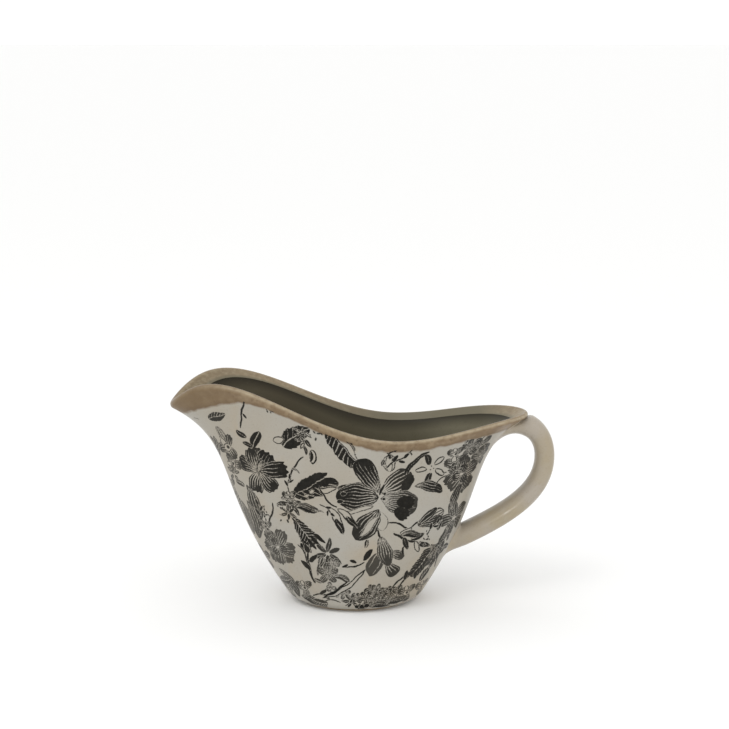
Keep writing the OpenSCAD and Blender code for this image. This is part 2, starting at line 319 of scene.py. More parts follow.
# Colours of the glazed ground and the sizes in mm of its clouds and specks. The glaze has broad waves and fine
# orange-peel, which are bumps of bumpStrength over waveHeight and peelHeight metres, and smudges of its own
groundLook = dict(
    body="#9f988b", warm="#a3957f", cool="#a29e95", speck="#8a8173", cloudSize=34, warmSize=21, speckSize=0.9,
    gloss=0.13, coat=0.08, coatRoughness=0.07, roughness=0.36, smoother=0.05, duller=0.08,
    waveSize=9, waveStrength=0.05, waveHeight=0.002, peelSize=0.8, peelStrength=0.06, peelHeight=0.0001,
    smudgeSize=12, glassIor=1.5,
)


# Glaze over porcelain: pale grey-beige, with fine specks and broad warm and cool clouds
def bodyColour(tree, place):
    look = groundLook
    colour = patched(tree, place, look["cool"], look["body"], look["cloudSize"], 0.35, 0.68)
    colour = patched(tree, place, colour, look["warm"], look["warmSize"], 0.56, 0.76, 0.65, Detail=3,
        Distortion=0.4)
    return patched(tree, place, colour, look["speck"], look["speckSize"], 0.56, 0.78, 0.35)


# Colours of the iron stain, sizes in mm and places along X in metres. deep is its tint on the spout, reached
# from near to far. Its lower edge is ragged by rag mm, grows over edge mm, and has a darker line over line mm
stainLook = dict(
    brown="#766147", pale="#8a775c", dark="#5a4630", deep="#6a5538", rubbedPaleAndSheen="#a89b83", olive="#736d5b",
    fleck="#a39880", patchSize=4.2, blotSize=2.3, rubAndSheenSize=2.6, fleckSize=1.3, fleckStretch=0.45,
    ragSize=5.5, rag=2.6, edge=(1.1, 2.3), edgeMost=0.93, line=(4.2, 2.4), lineMost=0.45,
    near=-0.048, far=-0.082, deepMost=0.8, rearFrom=0.066, rearTo=0.084, oliveFrom=-0.03, oliveTo=0.02,
)


# Iron-brown stain that thins out to bare glaze: fade is how far in mm a point is inside the band
def stainOver(tree, place, colour):
    look = stainLook
    brown = patched(tree, place, look["brown"], look["pale"], look["patchSize"], 0.42, 0.68, Detail=4)
    brown = patched(tree, place, brown, look["dark"], look["blotSize"], 0.56, 0.74, 0.7, Detail=4)
    # smoother and deeper brown on the spout
    along = addNode(tree, "SeparateXYZ", {"Vector": place})
    deeper = addNode(tree, "MapRange", {"Value": (along, "X"), "From Min": look["near"],
        "From Max": look["far"], "To Max": look["deepMost"]})
    brown = addNode(tree, "MixRGB", {"Fac": deeper, "Color1": brown, "Color2": look["deep"]})
    fade = addNode(tree, "Attribute", attribute_name="fade")
    rags = addNode(tree, "TexNoise", {"Vector": place, "Scale": 1000 / look["ragSize"], "Detail": 3})
    ragged = addNode(tree, "Math", {0: rags, 1: look["rag"], 2: (fade, "Fac")}, operation="MULTIPLY_ADD")
    # a darker line where the stain has run to its lower edge
    line = addNode(tree, "MapRange", {"Value": ragged, "From Min": look["line"][0], "From Max": look["line"][1],
        "To Max": look["lineMost"]})
    brown = addNode(tree, "MixRGB", {"Fac": line, "Color1": brown, "Color2": look["dark"]})
    share = addNode(tree, "MapRange", {"Value": ragged, "From Min": look["edge"][0],
        "From Max": look["edge"][1], "To Max": look["edgeMost"]})
    return addNode(tree, "MixRGB", {"Fac": share, "Color1": colour, "Color2": brown})


# Coated gloss over a colour: broad waves, fine orange-peel and smudges. own holds what a finish changes
def glazed(tree, place, colour, own=groundLook):
    look = {**groundLook, **own}
    broad = addNode(tree, "TexNoise", {"Vector": place, "Scale": 1000 / look["waveSize"]})
    wavy = addNode(tree, "Bump", {"Height": broad, "Strength": look["waveStrength"],
        "Distance": look["waveHeight"]})
    peel = addNode(tree, "TexNoise", {"Vector": place, "Scale": 1000 / look["peelSize"]})
    fine = addNode(tree, "Bump", {"Height": peel, "Strength": look["peelStrength"],
        "Distance": look["peelHeight"], "Normal": wavy})
    smudges = addNode(tree, "TexNoise", {"Vector": place, "Scale": 1000 / look["smudgeSize"], "Detail": 3})
    rough = addNode(tree, "MapRange", {"Value": smudges, "From Min": 0.3, "From Max": 0.75,
        "To Min": look["roughness"] - look["smoother"], "To Max": look["roughness"] + look["duller"]})
    shader = addNode(tree, "BsdfPrincipled", {
        "Base Color": colour, "Roughness": rough, "IOR": look["glassIor"], "Normal": fine,
        "Specular IOR Level": look["gloss"], "Coat Weight": look["coat"],
        "Coat Roughness": look["coatRoughness"], "Coat IOR": look["glassIor"]})
    addNode(tree, "OutputMaterial", {"Surface": shader})


# Clear glaze over cast porcelain: soft gloss over a pale, slightly uneven ground
def castGlaze():
    material, tree, place = startMaterial("clear glaze over cast porcelain")
    glazed(tree, place, stainOver(tree, place, bodyColour(tree, place)))
    return material


# Ink colours, the sizes in mm of its worn edges, washes and worn patches, how many mm the edge is moved out and
# worn to each side, and how soft it is
inkLook = dict(ink="#0c0a04", worn="#1f1a0f", wearSize=0.75, washSize=2.2, patchSize=1.3, spread=0.05,
    wear=0.25, soft=0.12, washLeast=0.975)


# Underglaze transfer print: near-black olive ink, worn at its edges, under the same glaze
def printedGlaze():
    material, tree, place = startMaterial("underglaze transfer print")
    look = inkLook
    ink = addNode(tree, "Attribute", attribute_name="ink")
    tone = addNode(tree, "Attribute", attribute_name="tone")
    wear = addNode(tree, "TexNoise", {"Vector": place, "Scale": 1000 / look["wearSize"]})
    ragged = addNode(tree, "MapRange", {"Value": wear, "To Min": look["spread"] - look["wear"],
        "To Max": look["spread"] + look["wear"]})
    ragged = addNode(tree, "Math", {0: ragged, 1: (ink, "Fac")}, operation="ADD")
    cover = addNode(tree, "MapRange", {"Value": ragged, "From Min": -look["soft"], "From Max": look["soft"]})
    wash = addNode(tree, "TexNoise", {"Vector": place, "Scale": 1000 / look["washSize"], "Detail": 4,
        "Roughness": 0.7})
    strength = addNode(tree, "MapRange", {"Value": wash, "From Min": 0.3, "From Max": 0.55,
        "To Min": look["washLeast"]})
    strength = addNode(tree, "Math", {0: strength, 1: (tone, "Fac")}, operation="MULTIPLY")
    cover = addNode(tree, "Math", {0: strength, 1: cover}, operation="MULTIPLY")
    inked = patched(tree, place, look["ink"], look["worn"], look["patchSize"], 0.48, 0.72, 0.45, Detail=3)
    browned = stainOver(tree, place, bodyColour(tree, place))
    glazed(tree, place, addNode(tree, "MixRGB", {"Fac": cover, "Color1": browned, "Color2": inked}))
    return material


# Iron stain over the lip, pale along its crown where the stain is rubbed thin and where a painted highlight
# lies, and on the land inside turning from brown to grey-olive
def ironStain():
    material, tree, place = startMaterial("iron stain under glaze")
    look = stainLook
    crown = addNode(tree, "Attribute", attribute_name="crown")
    land = addNode(tree, "Attribute", attribute_name="land")
    along = addNode(tree, "SeparateXYZ", {"Vector": place})
    # the crown is paled, partly by stain rubbed through and partly by a painted highlight, less so towards the
    # spout
    rubAndSheenNoise = addNode(tree, "TexNoise", {"Vector": place, "Scale": 1000 / look["rubAndSheenSize"], "Detail": 3})
    rubAndSheen = addNode(tree, "MapRange", {"Value": rubAndSheenNoise, "From Min": 0.34, "From Max": 0.6, "To Min": 0.4,
        "To Max": 0.9})
    rearward = addNode(tree, "MapRange", {"Value": (along, "X"), "From Min": look["far"],
        "From Max": look["near"], "To Min": 0.2})
    share = addNode(tree, "Math", {0: rubAndSheen, 1: (crown, "Fac")}, operation="MULTIPLY")
    share = addNode(tree, "Math", {0: share, 1: rearward}, operation="MULTIPLY")
    colour = addNode(tree, "MixRGB", {"Fac": share, "Color2": look["rubbedPaleAndSheen"],
        "Color1": stainOver(tree, place, bodyColour(tree, place))})
    # pale flecks, drawn out along the lip
    stretched = addNode(tree, "Mapping", {"Vector": place, "Scale": (look["fleckStretch"], 1, 1)})
    flecks = addNode(tree, "TexNoise", {"Vector": stretched, "Scale": 1000 / look["fleckSize"], "Detail": 3})
    share = addNode(tree, "MapRange", {"Value": flecks, "From Min": 0.44, "From Max": 0.66, "To Min": 0.4,
        "To Max": 0.75})
    share = addNode(tree, "Math", {0: share, 1: (land, "Fac")}, operation="MULTIPLY")
    colour = addNode(tree, "MixRGB", {"Fac": share, "Color1": colour, "Color2": look["fleck"]})
    # olive on the land from the dip to the handle, and along its inner edge
    olive = addNode(tree, "MapRange", {"Value": (along, "X"), "From Min": look["oliveFrom"],
        "From Max": look["oliveTo"]})
    rear = addNode(tree, "MapRange", {"Value": (along, "X"), "From Min": look["rearTo"],
        "From Max": look["rearFrom"]})
    olive = addNode(tree, "Math", {0: olive, 1: rear}, operation="MULTIPLY")
    inner = addNode(tree, "MapRange", {"Value": (land, "Fac"), "From Min": 0.93, "From Max": 0.99,
        "To Max": 0.8})
    flat = addNode(tree, "MapRange", {"Value": (land, "Fac"), "From Max": 0.8})
    olive = addNode(tree, "Math", {0: olive, 1: flat}, operation="MULTIPLY")
    olive = addNode(tree, "Math", {0: olive, 1: inner}, operation="MAXIMUM")
    glazed(tree, place, addNode(tree, "MixRGB", {"Fac": olive, "Color1": colour, "Color2": look["olive"]}))
    return material


# Lining colours, sizes in mm, and where along X in metres the painted shade towards the spout is deepest and
# where it ends. spout is the colour of that painted shade, and under is a painted shadow below the edge, from
# underFrom to underTo mm down
liningLook = dict(
    dark="#635e4c", pale="#6f6a58", speck="#4a4638", spout="#453e2e", under="#1d190f", cloudSize=24,
    speckSize=1.1, darkest=-0.034, palest=0.046, underFrom=0.3, underTo=6.5,
    gloss=0.12, coat=0.03, roughness=0.42,
)


# Grey-olive lining glaze, with painted shade darkening it towards the spout and a painted shadow just under the
# edge
def liningGlaze():
    material, tree, place = startMaterial("grey-olive lining glaze")
    look = liningLook
    colour = patched(tree, place, look["dark"], look["pale"], look["cloudSize"], 0.35, 0.68, Detail=3)
    # painted shade: the lining darkens along X towards the spout
    along = addNode(tree, "SeparateXYZ", {"Vector": place})
    share = addNode(tree, "MapRange", {"Value": (along, "X"), "From Min": look["palest"],
        "From Max": look["darkest"], "To Max": 0.9})
    colour = addNode(tree, "MixRGB", {"Fac": share, "Color1": colour, "Color2": look["spout"]})
    # painted shadow: near-black just under the inner edge, fading over the first few mm down
    depth = addNode(tree, "Attribute", attribute_name="depth")
    share = addNode(tree, "MapRange", {"Value": (depth, "Fac"), "From Min": look["underTo"],
        "From Max": look["underFrom"], "To Max": 0.85})
    colour = addNode(tree, "MixRGB", {"Fac": share, "Color1": colour, "Color2": look["under"]})
    colour = patched(tree, place, colour, look["speck"], look["speckSize"], 0.58, 0.78, 0.3)
    glazed(tree, place, colour, liningLook)
    return material


# Colours of the handle's glaze, the sizes in mm of its clouds and specks, and a stronger gloss than the body's
handleLook = dict(
    warm="#9f937c", pale="#a39a8d", speck="#8a7e69", seam="#5a442e", cloudSize=16, speckSize=1.0,
    gloss=0.14, coat=0.26, coatRoughness=0.04, roughness=0.34,
)


# Handle glaze: the body's, warmer, with a brown line where the slip meets the lip
def handleGlaze():
    material, tree, place = startMaterial("clear glaze over pressed porcelain")
    look = handleLook
    colour = patched(tree, place, look["warm"], look["pale"], look["cloudSize"], 0.34, 0.66, Detail=3)
    colour = patched(tree, place, colour, look["speck"], look["speckSize"], 0.55, 0.78, 0.35)
    seam = addNode(tree, "Attribute", attribute_name="seam")
    colour = addNode(tree, "MixRGB", {"Fac": (seam, "Fac"), "Color1": colour, "Color2": look["seam"]})
    glazed(tree, place, colour, handleLook)
    return material


# Colours of the clay, the sizes in mm of its patches and grit, and the grit's height in metres
clayLook = dict(tan="#a1927c", brown="#8b7b66", grit="#6a5643", patchSize=3.5, gritSize=0.5, gritStrength=0.4,
    gritHeight=0.0002, roughness=0.85, ior=1.5)


# Bare fired clay: matt, tan and slightly gritty
def bareClay():
    material, tree, place = startMaterial("bare fired clay")
    look = clayLook
    colour = patched(tree, place, look["tan"], look["brown"], look["patchSize"], 0.35, 0.65, Detail=4)
    grit = addNode(tree, "TexNoise", {"Vector": place, "Scale": 1000 / look["gritSize"], "Detail": 3,
        "Roughness": 0.7})
    share = addNode(tree, "MapRange", {"Value": grit, "From Min": 0.55, "From Max": 0.75, "To Max": 0.6})
    colour = addNode(tree, "MixRGB", {"Fac": share, "Color1": colour, "Color2": look["grit"]})
    bumpy = addNode(tree, "Bump", {"Height": grit, "Strength": look["gritStrength"],
        "Distance": look["gritHeight"]})
    shader = addNode(tree, "BsdfPrincipled", {
        "Base Color": colour, "Roughness": look["roughness"], "IOR": look["ior"], "Normal": bumpy})
    addNode(tree, "OutputMaterial", {"Surface": shader})
    return material


# Rows of each stretch of the body's section, and how near to the middle the underside and the floor go in rows
bodyGrid = dict(columns=240, under=6, foot=8, wall=80, stain=10, roll=12, edge=8, inner=60, corner=10, floor=8,
    underStart=0.08, floorShare=0.9)


# The body's section at each plan angle: from the middle of the underside up the outside, over the lip, down the
# inside and in to the floor's middle
def bodyRows():
    t = np.arange(bodyGrid["columns"])[None, :] * 360 / bodyGrid["columns"]

    # shares from start to 1 in a column, as many as the stretch has rows, with the last only where asked for
    def steps(part, start=0.0, last=False):
        return np.linspace(start, 1, bodyGrid[part] + 1)[(0 if last else 0):(None if last else -1), None]

    low, high = lowShare(t), stainShare(t)
    under = footPoint(t, 0) * [1, 1, 0] * steps("under", bodyGrid["underStart"])[..., None]
    inward = cornerPoint(t, 0) * [1, 1, 0] * (1 - steps("floor")[..., None] * bodyGrid["floorShare"])
    edge = steps("edge", last=True)
    bottom = (jug["floorLevel"] + jug["floorRound"]) / lipHeight(t)
    parts = [
        under + [0, 0, jug["footHeight"]],
        footPoint(t, 90 * steps("foot")),
        wallPoint(t, mixed(low, high, steps("wall"))),
        wallPoint(t, mixed(high, 1.0, steps("stain"))),
        rollPoint(t, mixed(lipLean(t), rollEnd(t), steps("roll", last=True))),
        edgePoint(t + 0 * edge, edge + 0 * t),
        wallPoint(t, mixed(edgeShare(t), bottom, steps("inner")[1:]), jug["wall"]),
        cornerPoint(t, 90 * (1 - steps("corner"))),
        inward + [0, 0, jug["floorLevel"]],
    ]
    # how far in mm each point of the wall, the roll and the edge is inside the brown band
    fade = [np.full(part.shape[:2], noStain) for part in parts]
    for k in (2, 3):
        fade[k] = bandDepth(t) - (lipHeight(t) - parts[k][..., 2])
    for k in (4, 5):
        fade[k] = 0 * fade[k] + bandDepth(t)
    return np.vstack(parts), np.vstack(fade)


# The section carried round the oval, closed at the middles of the underside and the floor
def buildBody(material):
    rows, fade = bodyRows()
    count = bodyGrid["columns"]
    size = rows.shape[0] * count
    points = np.vstack([rows.reshape(-1, 3), [[0, 0, jug["footHeight"]], [0, 0, jug["floorLevel"]]]])
    faces = [gridFaces(rows.shape[0], count, True),
        fanFaces(np.arange(count)[::-1], size), fanFaces(np.arange(size - count, size), size + 1)]
    makePiece("castBody", points, faces, material, ["body"],
        {"fade": np.append(fade.ravel(), [noStain, noStain])})


# The ring's place in from the base's oval, its width and its rounding in mm
footRing = dict(inset=4.5, width=4, rounding=0.45, columns=180, bend=5)


# A flat tread with rounded corners, in by r (1 - cos a) and up by r (1 - sin a), carried round the base's oval
def buildFootRing(material):
    t = np.arange(footRing["columns"])[None, :] * 360 / footRing["columns"]
    r, top = footRing["rounding"], jug["footHeight"]
    outer, inner = footRing["inset"], footRing["inset"] + footRing["width"]
    bend = np.linspace(0, 90, footRing["bend"])
    across, above = r * (1 - cosd(bend)), r * (1 - sind(bend))
    insets = np.concatenate([[outer], outer + across, inner - across[::-1], [inner]])
    heights = np.concatenate([[top], above, above[::-1], [top]])
    rows = ovalPoint(t, np.zeros((len(insets), 1)), heights[:, None], insets[:, None])[::-1]
    count = footRing["columns"]
    size = rows.shape[0] * count
    faces = [gridFaces(rows.shape[0], count, True), bandFaces(np.arange(size - count, size), np.arange(count))]
    makePiece("footRing", rows.reshape(-1, 3), faces, material, ["foot_ring"])


# The handle's curve: how far it reaches past the heel, where it turns, how its tail meets the wall, and the
# thickness and width of its section at the root, the turn and the tail. It is drawn from start to 1 - end
loop = dict(
    reach=9.9, shoulder=21.5, tailLevel=0.32, tailAngle=25, tailRun=29, rootShare=0.953,
    rootBack=0.9, rootDrop=2, bowDrop=7.5, bowRise=1,
    thickness=[11.8, 10.3, 11.3], width=[18, 13, 15], start=0.4, end=8 / 29 / 3, squareness=0.88,
    sides=72, rows=56,
)

# The slip fillets: sizes of their seats on the wall in mm, shares along them, and the line at the upper one
fillet = dict(
    upperHalfWidth=11.6, upperLength=17, upperRaise=0.2, lowerHalfWidth=9.2, lowerHalfLength=10.6,
    inward=0.93, seatPull=0.34, ringPull=0.42, seatRings=(0.33, 0.67), rows=18,
    seamWidth=0.07, seamRise=2.2, seamStart=0.2,
)


# Cubic p0 (1 - k)^3 + 3 p1 k (1 - k)^2 + 3 p2 k^2 (1 - k) + p3 k^3
def bezier(p, k):
    k = np.asarray(k, float)[..., None]
    return p[0] * (1 - k) ** 3 + p[1] * 3 * k * (1 - k) ** 2 + p[2] * 3 * k * k * (1 - k) + p[3] * k ** 3


# Its direction: (p1 - p0) (1 - k)^2 + 2 (p2 - p1) k (1 - k) + (p3 - p2) k^2, made one long
def heading(p, k):
    k = np.asarray(k, float)[..., None]
    return unit((p[1] - p[0]) * (1 - k) ** 2 + (p[2] - p[1]) * 2 * k * (1 - k) + (p[3] - p[2]) * k * k)


# Two cubics in the middle plane: from the root at the lip back to the turn, and down from there to the wall
def loopCurves():
    heel, root, tail = (wallPoint(0.0, v) for v in (1.0, loop["rootShare"], loop["tailLevel"]))
    back = heel[0] + loop["reach"]
    pull = loop["tailRun"] * np.array([cosd(loop["tailAngle"]), 0, sind(loop["tailAngle"])])

    # a point of the middle plane, by its fall below the heel
    def middle(x, fall):
        return np.array([x, 0, heel[2] - fall])

    turn = middle(back, loop["shoulder"])
    upper = [root, middle(heel[0] - loop["rootBack"], loop["rootDrop"]), middle(back, loop["bowDrop"]), turn]
    lower = [turn, middle(back, 2 * loop["shoulder"] - loop["bowRise"]), tail + pull, tail]
    return upper, lower


# Rounded section: centre + out |cos|^n thickness / 2 + side |sin|^n width / 2
def loopSection(curve, k, whole):
    angle = np.arange(loop["sides"]) * 360 / loop["sides"]
    ahead = heading(curve, k)[:, None, :]
    out = np.stack([-ahead[..., 2], 0 * ahead[..., 0], ahead[..., 0]], -1)
    n = loop["squareness"]
    soft = [np.sign(f) * np.abs(f) ** n for f in (cosd(angle), sind(angle))]

    # the three sizes, joined by half cosine waves
    def size(values):
        return np.where(whole < 1, eased(values[0], values[1], whole), eased(values[1], values[2], whole - 1))

    thick, wide = size(loop["thickness"])[:, None, None], size(loop["width"])[:, None, None]
    return bezier(curve, k)[:, None, :] + out * soft[0][None, :, None] * thick / 2 \
        + np.array([0, 1.0, 0]) * soft[1][None, :, None] * wide / 2


# Point of the wall's outside at a height and at y = b sin t, and above the heel a point of the rolled edge
def seatPoint(level, y):
    v = np.minimum(1, level / jug["heelHeight"])
    t = np.degrees(np.arcsin(np.clip(y / (halfSizes(v)[1]), -1, 1)))
    over = rollPoint(t, lipLean(t) + np.degrees((level - lipHeight(t)) / jug["lipRound"]))
    return np.where((level <= jug["heelHeight"])[..., None], wallPoint(t, v), over)


# Fillet: a cubic from an oval seat on the wall, which it leaves along the wall, to the loop's end ring
def filletRows(middle, halfLong, halfWide, ring, pull, angle):
    # the seat's oval, or a smaller one inside it
    def seat(scale):
        return seatPoint(middle + halfLong * scale * cosd(angle), halfWide * scale * sind(angle))

    foot = seat(1.0)
    inward = unit(seat(fillet["inward"]) - foot)
    reach = np.linalg.norm(foot - ring, axis=-1, keepdims=True)
    curve = [foot, foot + inward * reach * fillet["seatPull"], ring + pull * reach * fillet["ringPull"], ring]
    k = np.linspace(0, 1, fillet["rows"] + 1)[:, None] * np.ones((1, len(angle)))
    return np.stack([seat(s) for s in fillet["seatRings"]]), bezier([c[None] for c in curve], k)


# Fillet, loop and fillet in one run of rings, cut at the rings where they meet
def buildHandle(material):
    upper, lower = loopCurves()
    angle = np.arange(loop["sides"]) * 360 / loop["sides"]
    first = np.linspace(loop["start"], 1, loop["rows"] + 1)[:-1]
    second = np.linspace(0, 1 - loop["end"], loop["rows"] + 1)
    rings = np.vstack([loopSection(upper, first, first), loopSection(lower, second, 1 + second)])
    seatUp, filletUp = filletRows(jug["heelHeight"] - fillet["upperLength"] / 2 + fillet["upperRaise"],
        fillet["upperLength"] / 2, fillet["upperHalfWidth"], rings[0], -heading(upper, loop["start"]), angle)
    # the lower seat faces the other way, so its ring is numbered from the opposite side
    turned = (loop["sides"] // 2 - np.arange(loop["sides"])) % loop["sides"]
    seatLow, filletLow = filletRows(loop["tailLevel"] * jug["heelHeight"], fillet["lowerHalfLength"],
        fillet["lowerHalfWidth"], rings[-1][turned], heading(lower, 1 - loop["end"]), angle)
    filletLow, seatLow = filletLow[:, turned], seatLow[:, turned]
    whole = np.vstack([filletUp[:-1], rings, filletLow[::-1][1:]])
    normals = -gridNormals(whole, True)
    cut = [0, fillet["rows"], fillet["rows"] + len(rings) - 1, len(whole) - 1]
    names = [("upperJoint", "upper_joint"), ("loopHandle", "handle"), ("lowerJoint", "lower_joint")]
    for j, (name, node) in enumerate(names):
        rows, outward = whole[cut[j]:cut[j + 1] + 1], normals[cut[j]:cut[j + 1] + 1]
        seam = np.zeros(rows.shape[:2])
        if j == 0:      # a thin dark line of stain where the slip meets the lip
            away = np.arange(len(rows))[:, None] / fillet["rows"]
            above = np.clip(cosd(angle) * fillet["seamRise"] - fillet["seamStart"], 0, 1)
            seam = np.exp(-(away / fillet["seamWidth"]) ** 2) * above
            rows, outward = np.vstack([seatUp, rows]), np.vstack([outward[:1], outward[:1], outward])
            seam = np.vstack([seam[:1], seam[:1], seam])
        if j == 2:
            rows, outward = np.vstack([rows, seatLow[::-1]]), np.vstack([outward, outward[-1:], outward[-1:]])
            seam = np.vstack([seam, seam[-1:], seam[-1:]])
        size = rows.shape[0] * loop["sides"]
        points = np.vstack([rows.reshape(-1, 3), rows[0].mean(0)[None], rows[-1].mean(0)[None]])
        faces = [gridFaces(rows.shape[0], loop["sides"], True, flip=True),
            fanFaces(np.arange(loop["sides"]), size),
            fanFaces(np.arange(size - loop["sides"], size)[::-1], size + 1)]
        allNormals = np.vstack([outward.reshape(-1, 3), outward[0].mean(0)[None], outward[-1].mean(0)[None]])
        makePiece(name, points, faces, material, [node],
            {"seam": np.append(seam.ravel(), [0, 0])}, unit(allNormals + 1e-9))


# Closed shell on a grid that wraps round: rows raised by thickness along the normals and rows sunk by a little
def buildRoundCoat(name, rows, thickness, material, node, fields, closeEnd=None):
    normals = gridNormals(rows, True)
    count = rows.shape[1]
    front, back = rows + normals * thickness[..., None], rows - normals * coats["sink"]
    size = rows.shape[0] * count
    points = [front.reshape(-1, 3), back.reshape(-1, 3)]
    faces = [gridFaces(rows.shape[0], count, True), gridFaces(rows.shape[0], count, True, size, True),
        bandFaces(size + np.arange(count), np.arange(count))]
    last = np.arange(size - count, size)
    allNormals = [normals.reshape(-1, 3), normals.reshape(-1, 3)]
    if closeEnd is None:
        faces.append(bandFaces(last, size + last))
        extra = 0
    else:
        points.append(np.array([closeEnd + [0, 0, thickness.ravel()[-1]], closeEnd - [0, 0, coats["sink"]]]))
        faces += [fanFaces(last, 2 * size), fanFaces(size + last[::-1], 2 * size + 1)]
        allNormals.append(np.array([[0, 0, 1.0], [0, 0, 1.0]]))
        extra = 2
    full = {key: np.concatenate([values.ravel(), values.ravel(), np.full(extra, values.ravel()[-1])])
        for key, values in fields.items()}
    makePiece(name, np.vstack(points), faces, material, [node], full, np.vstack(allNormals))


# Thickness of the wall's coats: full, thinning out as half a cosine wave over taper mm towards the bare strip
# behind the handle and towards the foot
def coatThickness(t, z):
    sideways = (folded(t) - coats["bareAngle"]) * coats["degree"] / coats["taper"]
    upward = (z - jug["footHeight"] - coats["footClear"]) / coats["taper"]
    share = eased(0, 1, sideways) * eased(0, 1, upward)
    return mixed(coats["thinEdge"], coats["transfer"], share)


# Rows of the stained coat, and shares of its way over the lip: at the crown it is rubbed thin and carries a
# painted highlight, and it turns at the land
stainCoat = dict(columns=480, wallRows=14, rollRows=22, inward=(0.0, 0.06, 0.12), rise=1.6, midHeight=50,
    crown=0.42, crownWidth=0.2, land=0.6, landRun=0.25, landMost=0.8)


# The top of the wall, the rolled edge and the start of the inner edge, as one sleeve
def buildStain(material):
    t = np.arange(stainCoat["columns"])[None, :] * 360 / stainCoat["columns"]
    inward = np.array(stainCoat["inward"])[:, None] + 0 * t
    beyond = len(inward) + stainCoat["rollRows"] + 1
    k = np.linspace(0, 1, stainCoat["wallRows"] + 1)[:-1, None]
    wall = wallPoint(t, mixed(stainShare(t), 1.0, k))
    turn = np.linspace(0, 1, stainCoat["rollRows"] + 1)[:, None]
    roll = rollPoint(t, mixed(lipLean(t), rollEnd(t), turn))
    rows = np.vstack([wall, roll, edgePoint(t + 0 * inward, inward)])
    rise = np.vstack([eased(0, 1, k * stainCoat["rise"]), np.ones((beyond, 1))])
    thickness = mixed(coatThickness(t, stainCoat["midHeight"] + 0 * t), coats["stain"], rise)
    fade = np.vstack([bandDepth(t) - (lipHeight(t) - wall[..., 2]), np.repeat(bandDepth(t), beyond, 0)])
    over = np.vstack([0 * k, turn, np.ones((len(inward), 1))]) + 0 * t
    crown = np.exp(-((over - stainCoat["crown"]) / stainCoat["crownWidth"]) ** 2) * (over > 0)
    land = stainCoat["landMost"] * eased(0, 1, (over - stainCoat["land"]) / stainCoat["landRun"])
    land[-len(inward):] = 1
    buildRoundCoat("rimStain", rows, thickness, material, "rim_stain",
        {"fade": fade, "crown": crown, "land": land})


# Rows of the lining, which starts where the stain ends, thickens over thinRows and closes at the floor's middle
liningCoat = dict(columns=240, edgeRows=8, wallRows=70, cornerRows=10, floorRows=8, floorFrom=0.9, floorTo=0.08,
    thinRows=4)


# The inside of the body's section from the inner edge to the floor
def buildLining(material):
    t = np.arange(liningCoat["columns"])[None, :] * 360 / liningCoat["columns"]
    start = stainCoat["inward"][-1]
    k = np.linspace(start, 1, liningCoat["edgeRows"] + 1)[:-1, None]
    bottom = (jug["floorLevel"] + jug["floorRound"]) / lipHeight(t)
    down = np.linspace(0, 1, liningCoat["wallRows"] + 1)[:, None]
    turn = 90 * (1 - np.linspace(0, 1, liningCoat["cornerRows"] + 1)[1:, None])
    inward = np.linspace(liningCoat["floorFrom"], liningCoat["floorTo"], liningCoat["floorRows"])[:, None, None]
    rows = np.vstack([
        edgePoint(t + 0 * k, k + 0 * t),
        wallPoint(t, mixed(edgeShare(t), bottom, down), jug["wall"]),
        cornerPoint(t, turn),
        cornerPoint(t, 0) * [1, 1, 0] * inward + [0, 0, jug["floorLevel"]]])
    thin = liningCoat["thinRows"]
    thickness = np.full(rows.shape[:2], coats["glaze"])
    thickness[:thin] = mixed(coats["stain"], coats["glaze"], np.linspace(0, 1, thin))[:, None]
    buildRoundCoat("glazeLining", rows, thickness, material, "glaze_lining",
        {"depth": edgePoint(t, start + 0 * t)[..., 2] - rows[..., 2]}, np.array([0, 0, jug["floorLevel"]]))


# The printed sheets: rows round the foot from footAngle and up the wall, columns of both sheets of a side, the
# plan angle where they join, the front one's share of the columns, and how many times coarser the sunk face is
sheets = dict(footRows=16, footAngle=32, wallRows=368, columns=460, coarse=4, join=255, frontShare=0.52,
    midShare=0.7, samples=400, mapBelow=0.03)


# Spreads count + 1 shares so that steps along a curve of points are equal
def evenShares(curve, count):
    shares = np.linspace(0, 1, len(curve))
    run = np.concatenate([[0], np.cumsum(np.linalg.norm(np.diff(curve, axis=0), axis=1))])
    return np.interp(np.linspace(0, run[-1], count + 1), run, shares)


# Wall points between two plan angles, evenly spaced along the row at midShare and up the middle column
def sheetRows(tFrom, tTo, columns):
    fine = np.linspace(0, 1, sheets["samples"])
    across = evenShares(wallPoint(mixed(tFrom, tTo, fine), sheets["midShare"]), columns)
    t, middle = mixed(tFrom, tTo, across)[None, :], mixed(tFrom, tTo, 0.5)
    up = evenShares(wallPoint(middle, mixed(lowShare(middle), stainShare(middle), fine)), sheets["wallRows"])
    angle = np.linspace(sheets["footAngle"], 90, sheets["footRows"] + 1)[:-1, None]
    return t, across, np.vstack([footPoint(t, angle),
        wallPoint(t, mixed(lowShare(t), stainShare(t), up[:, None]))])


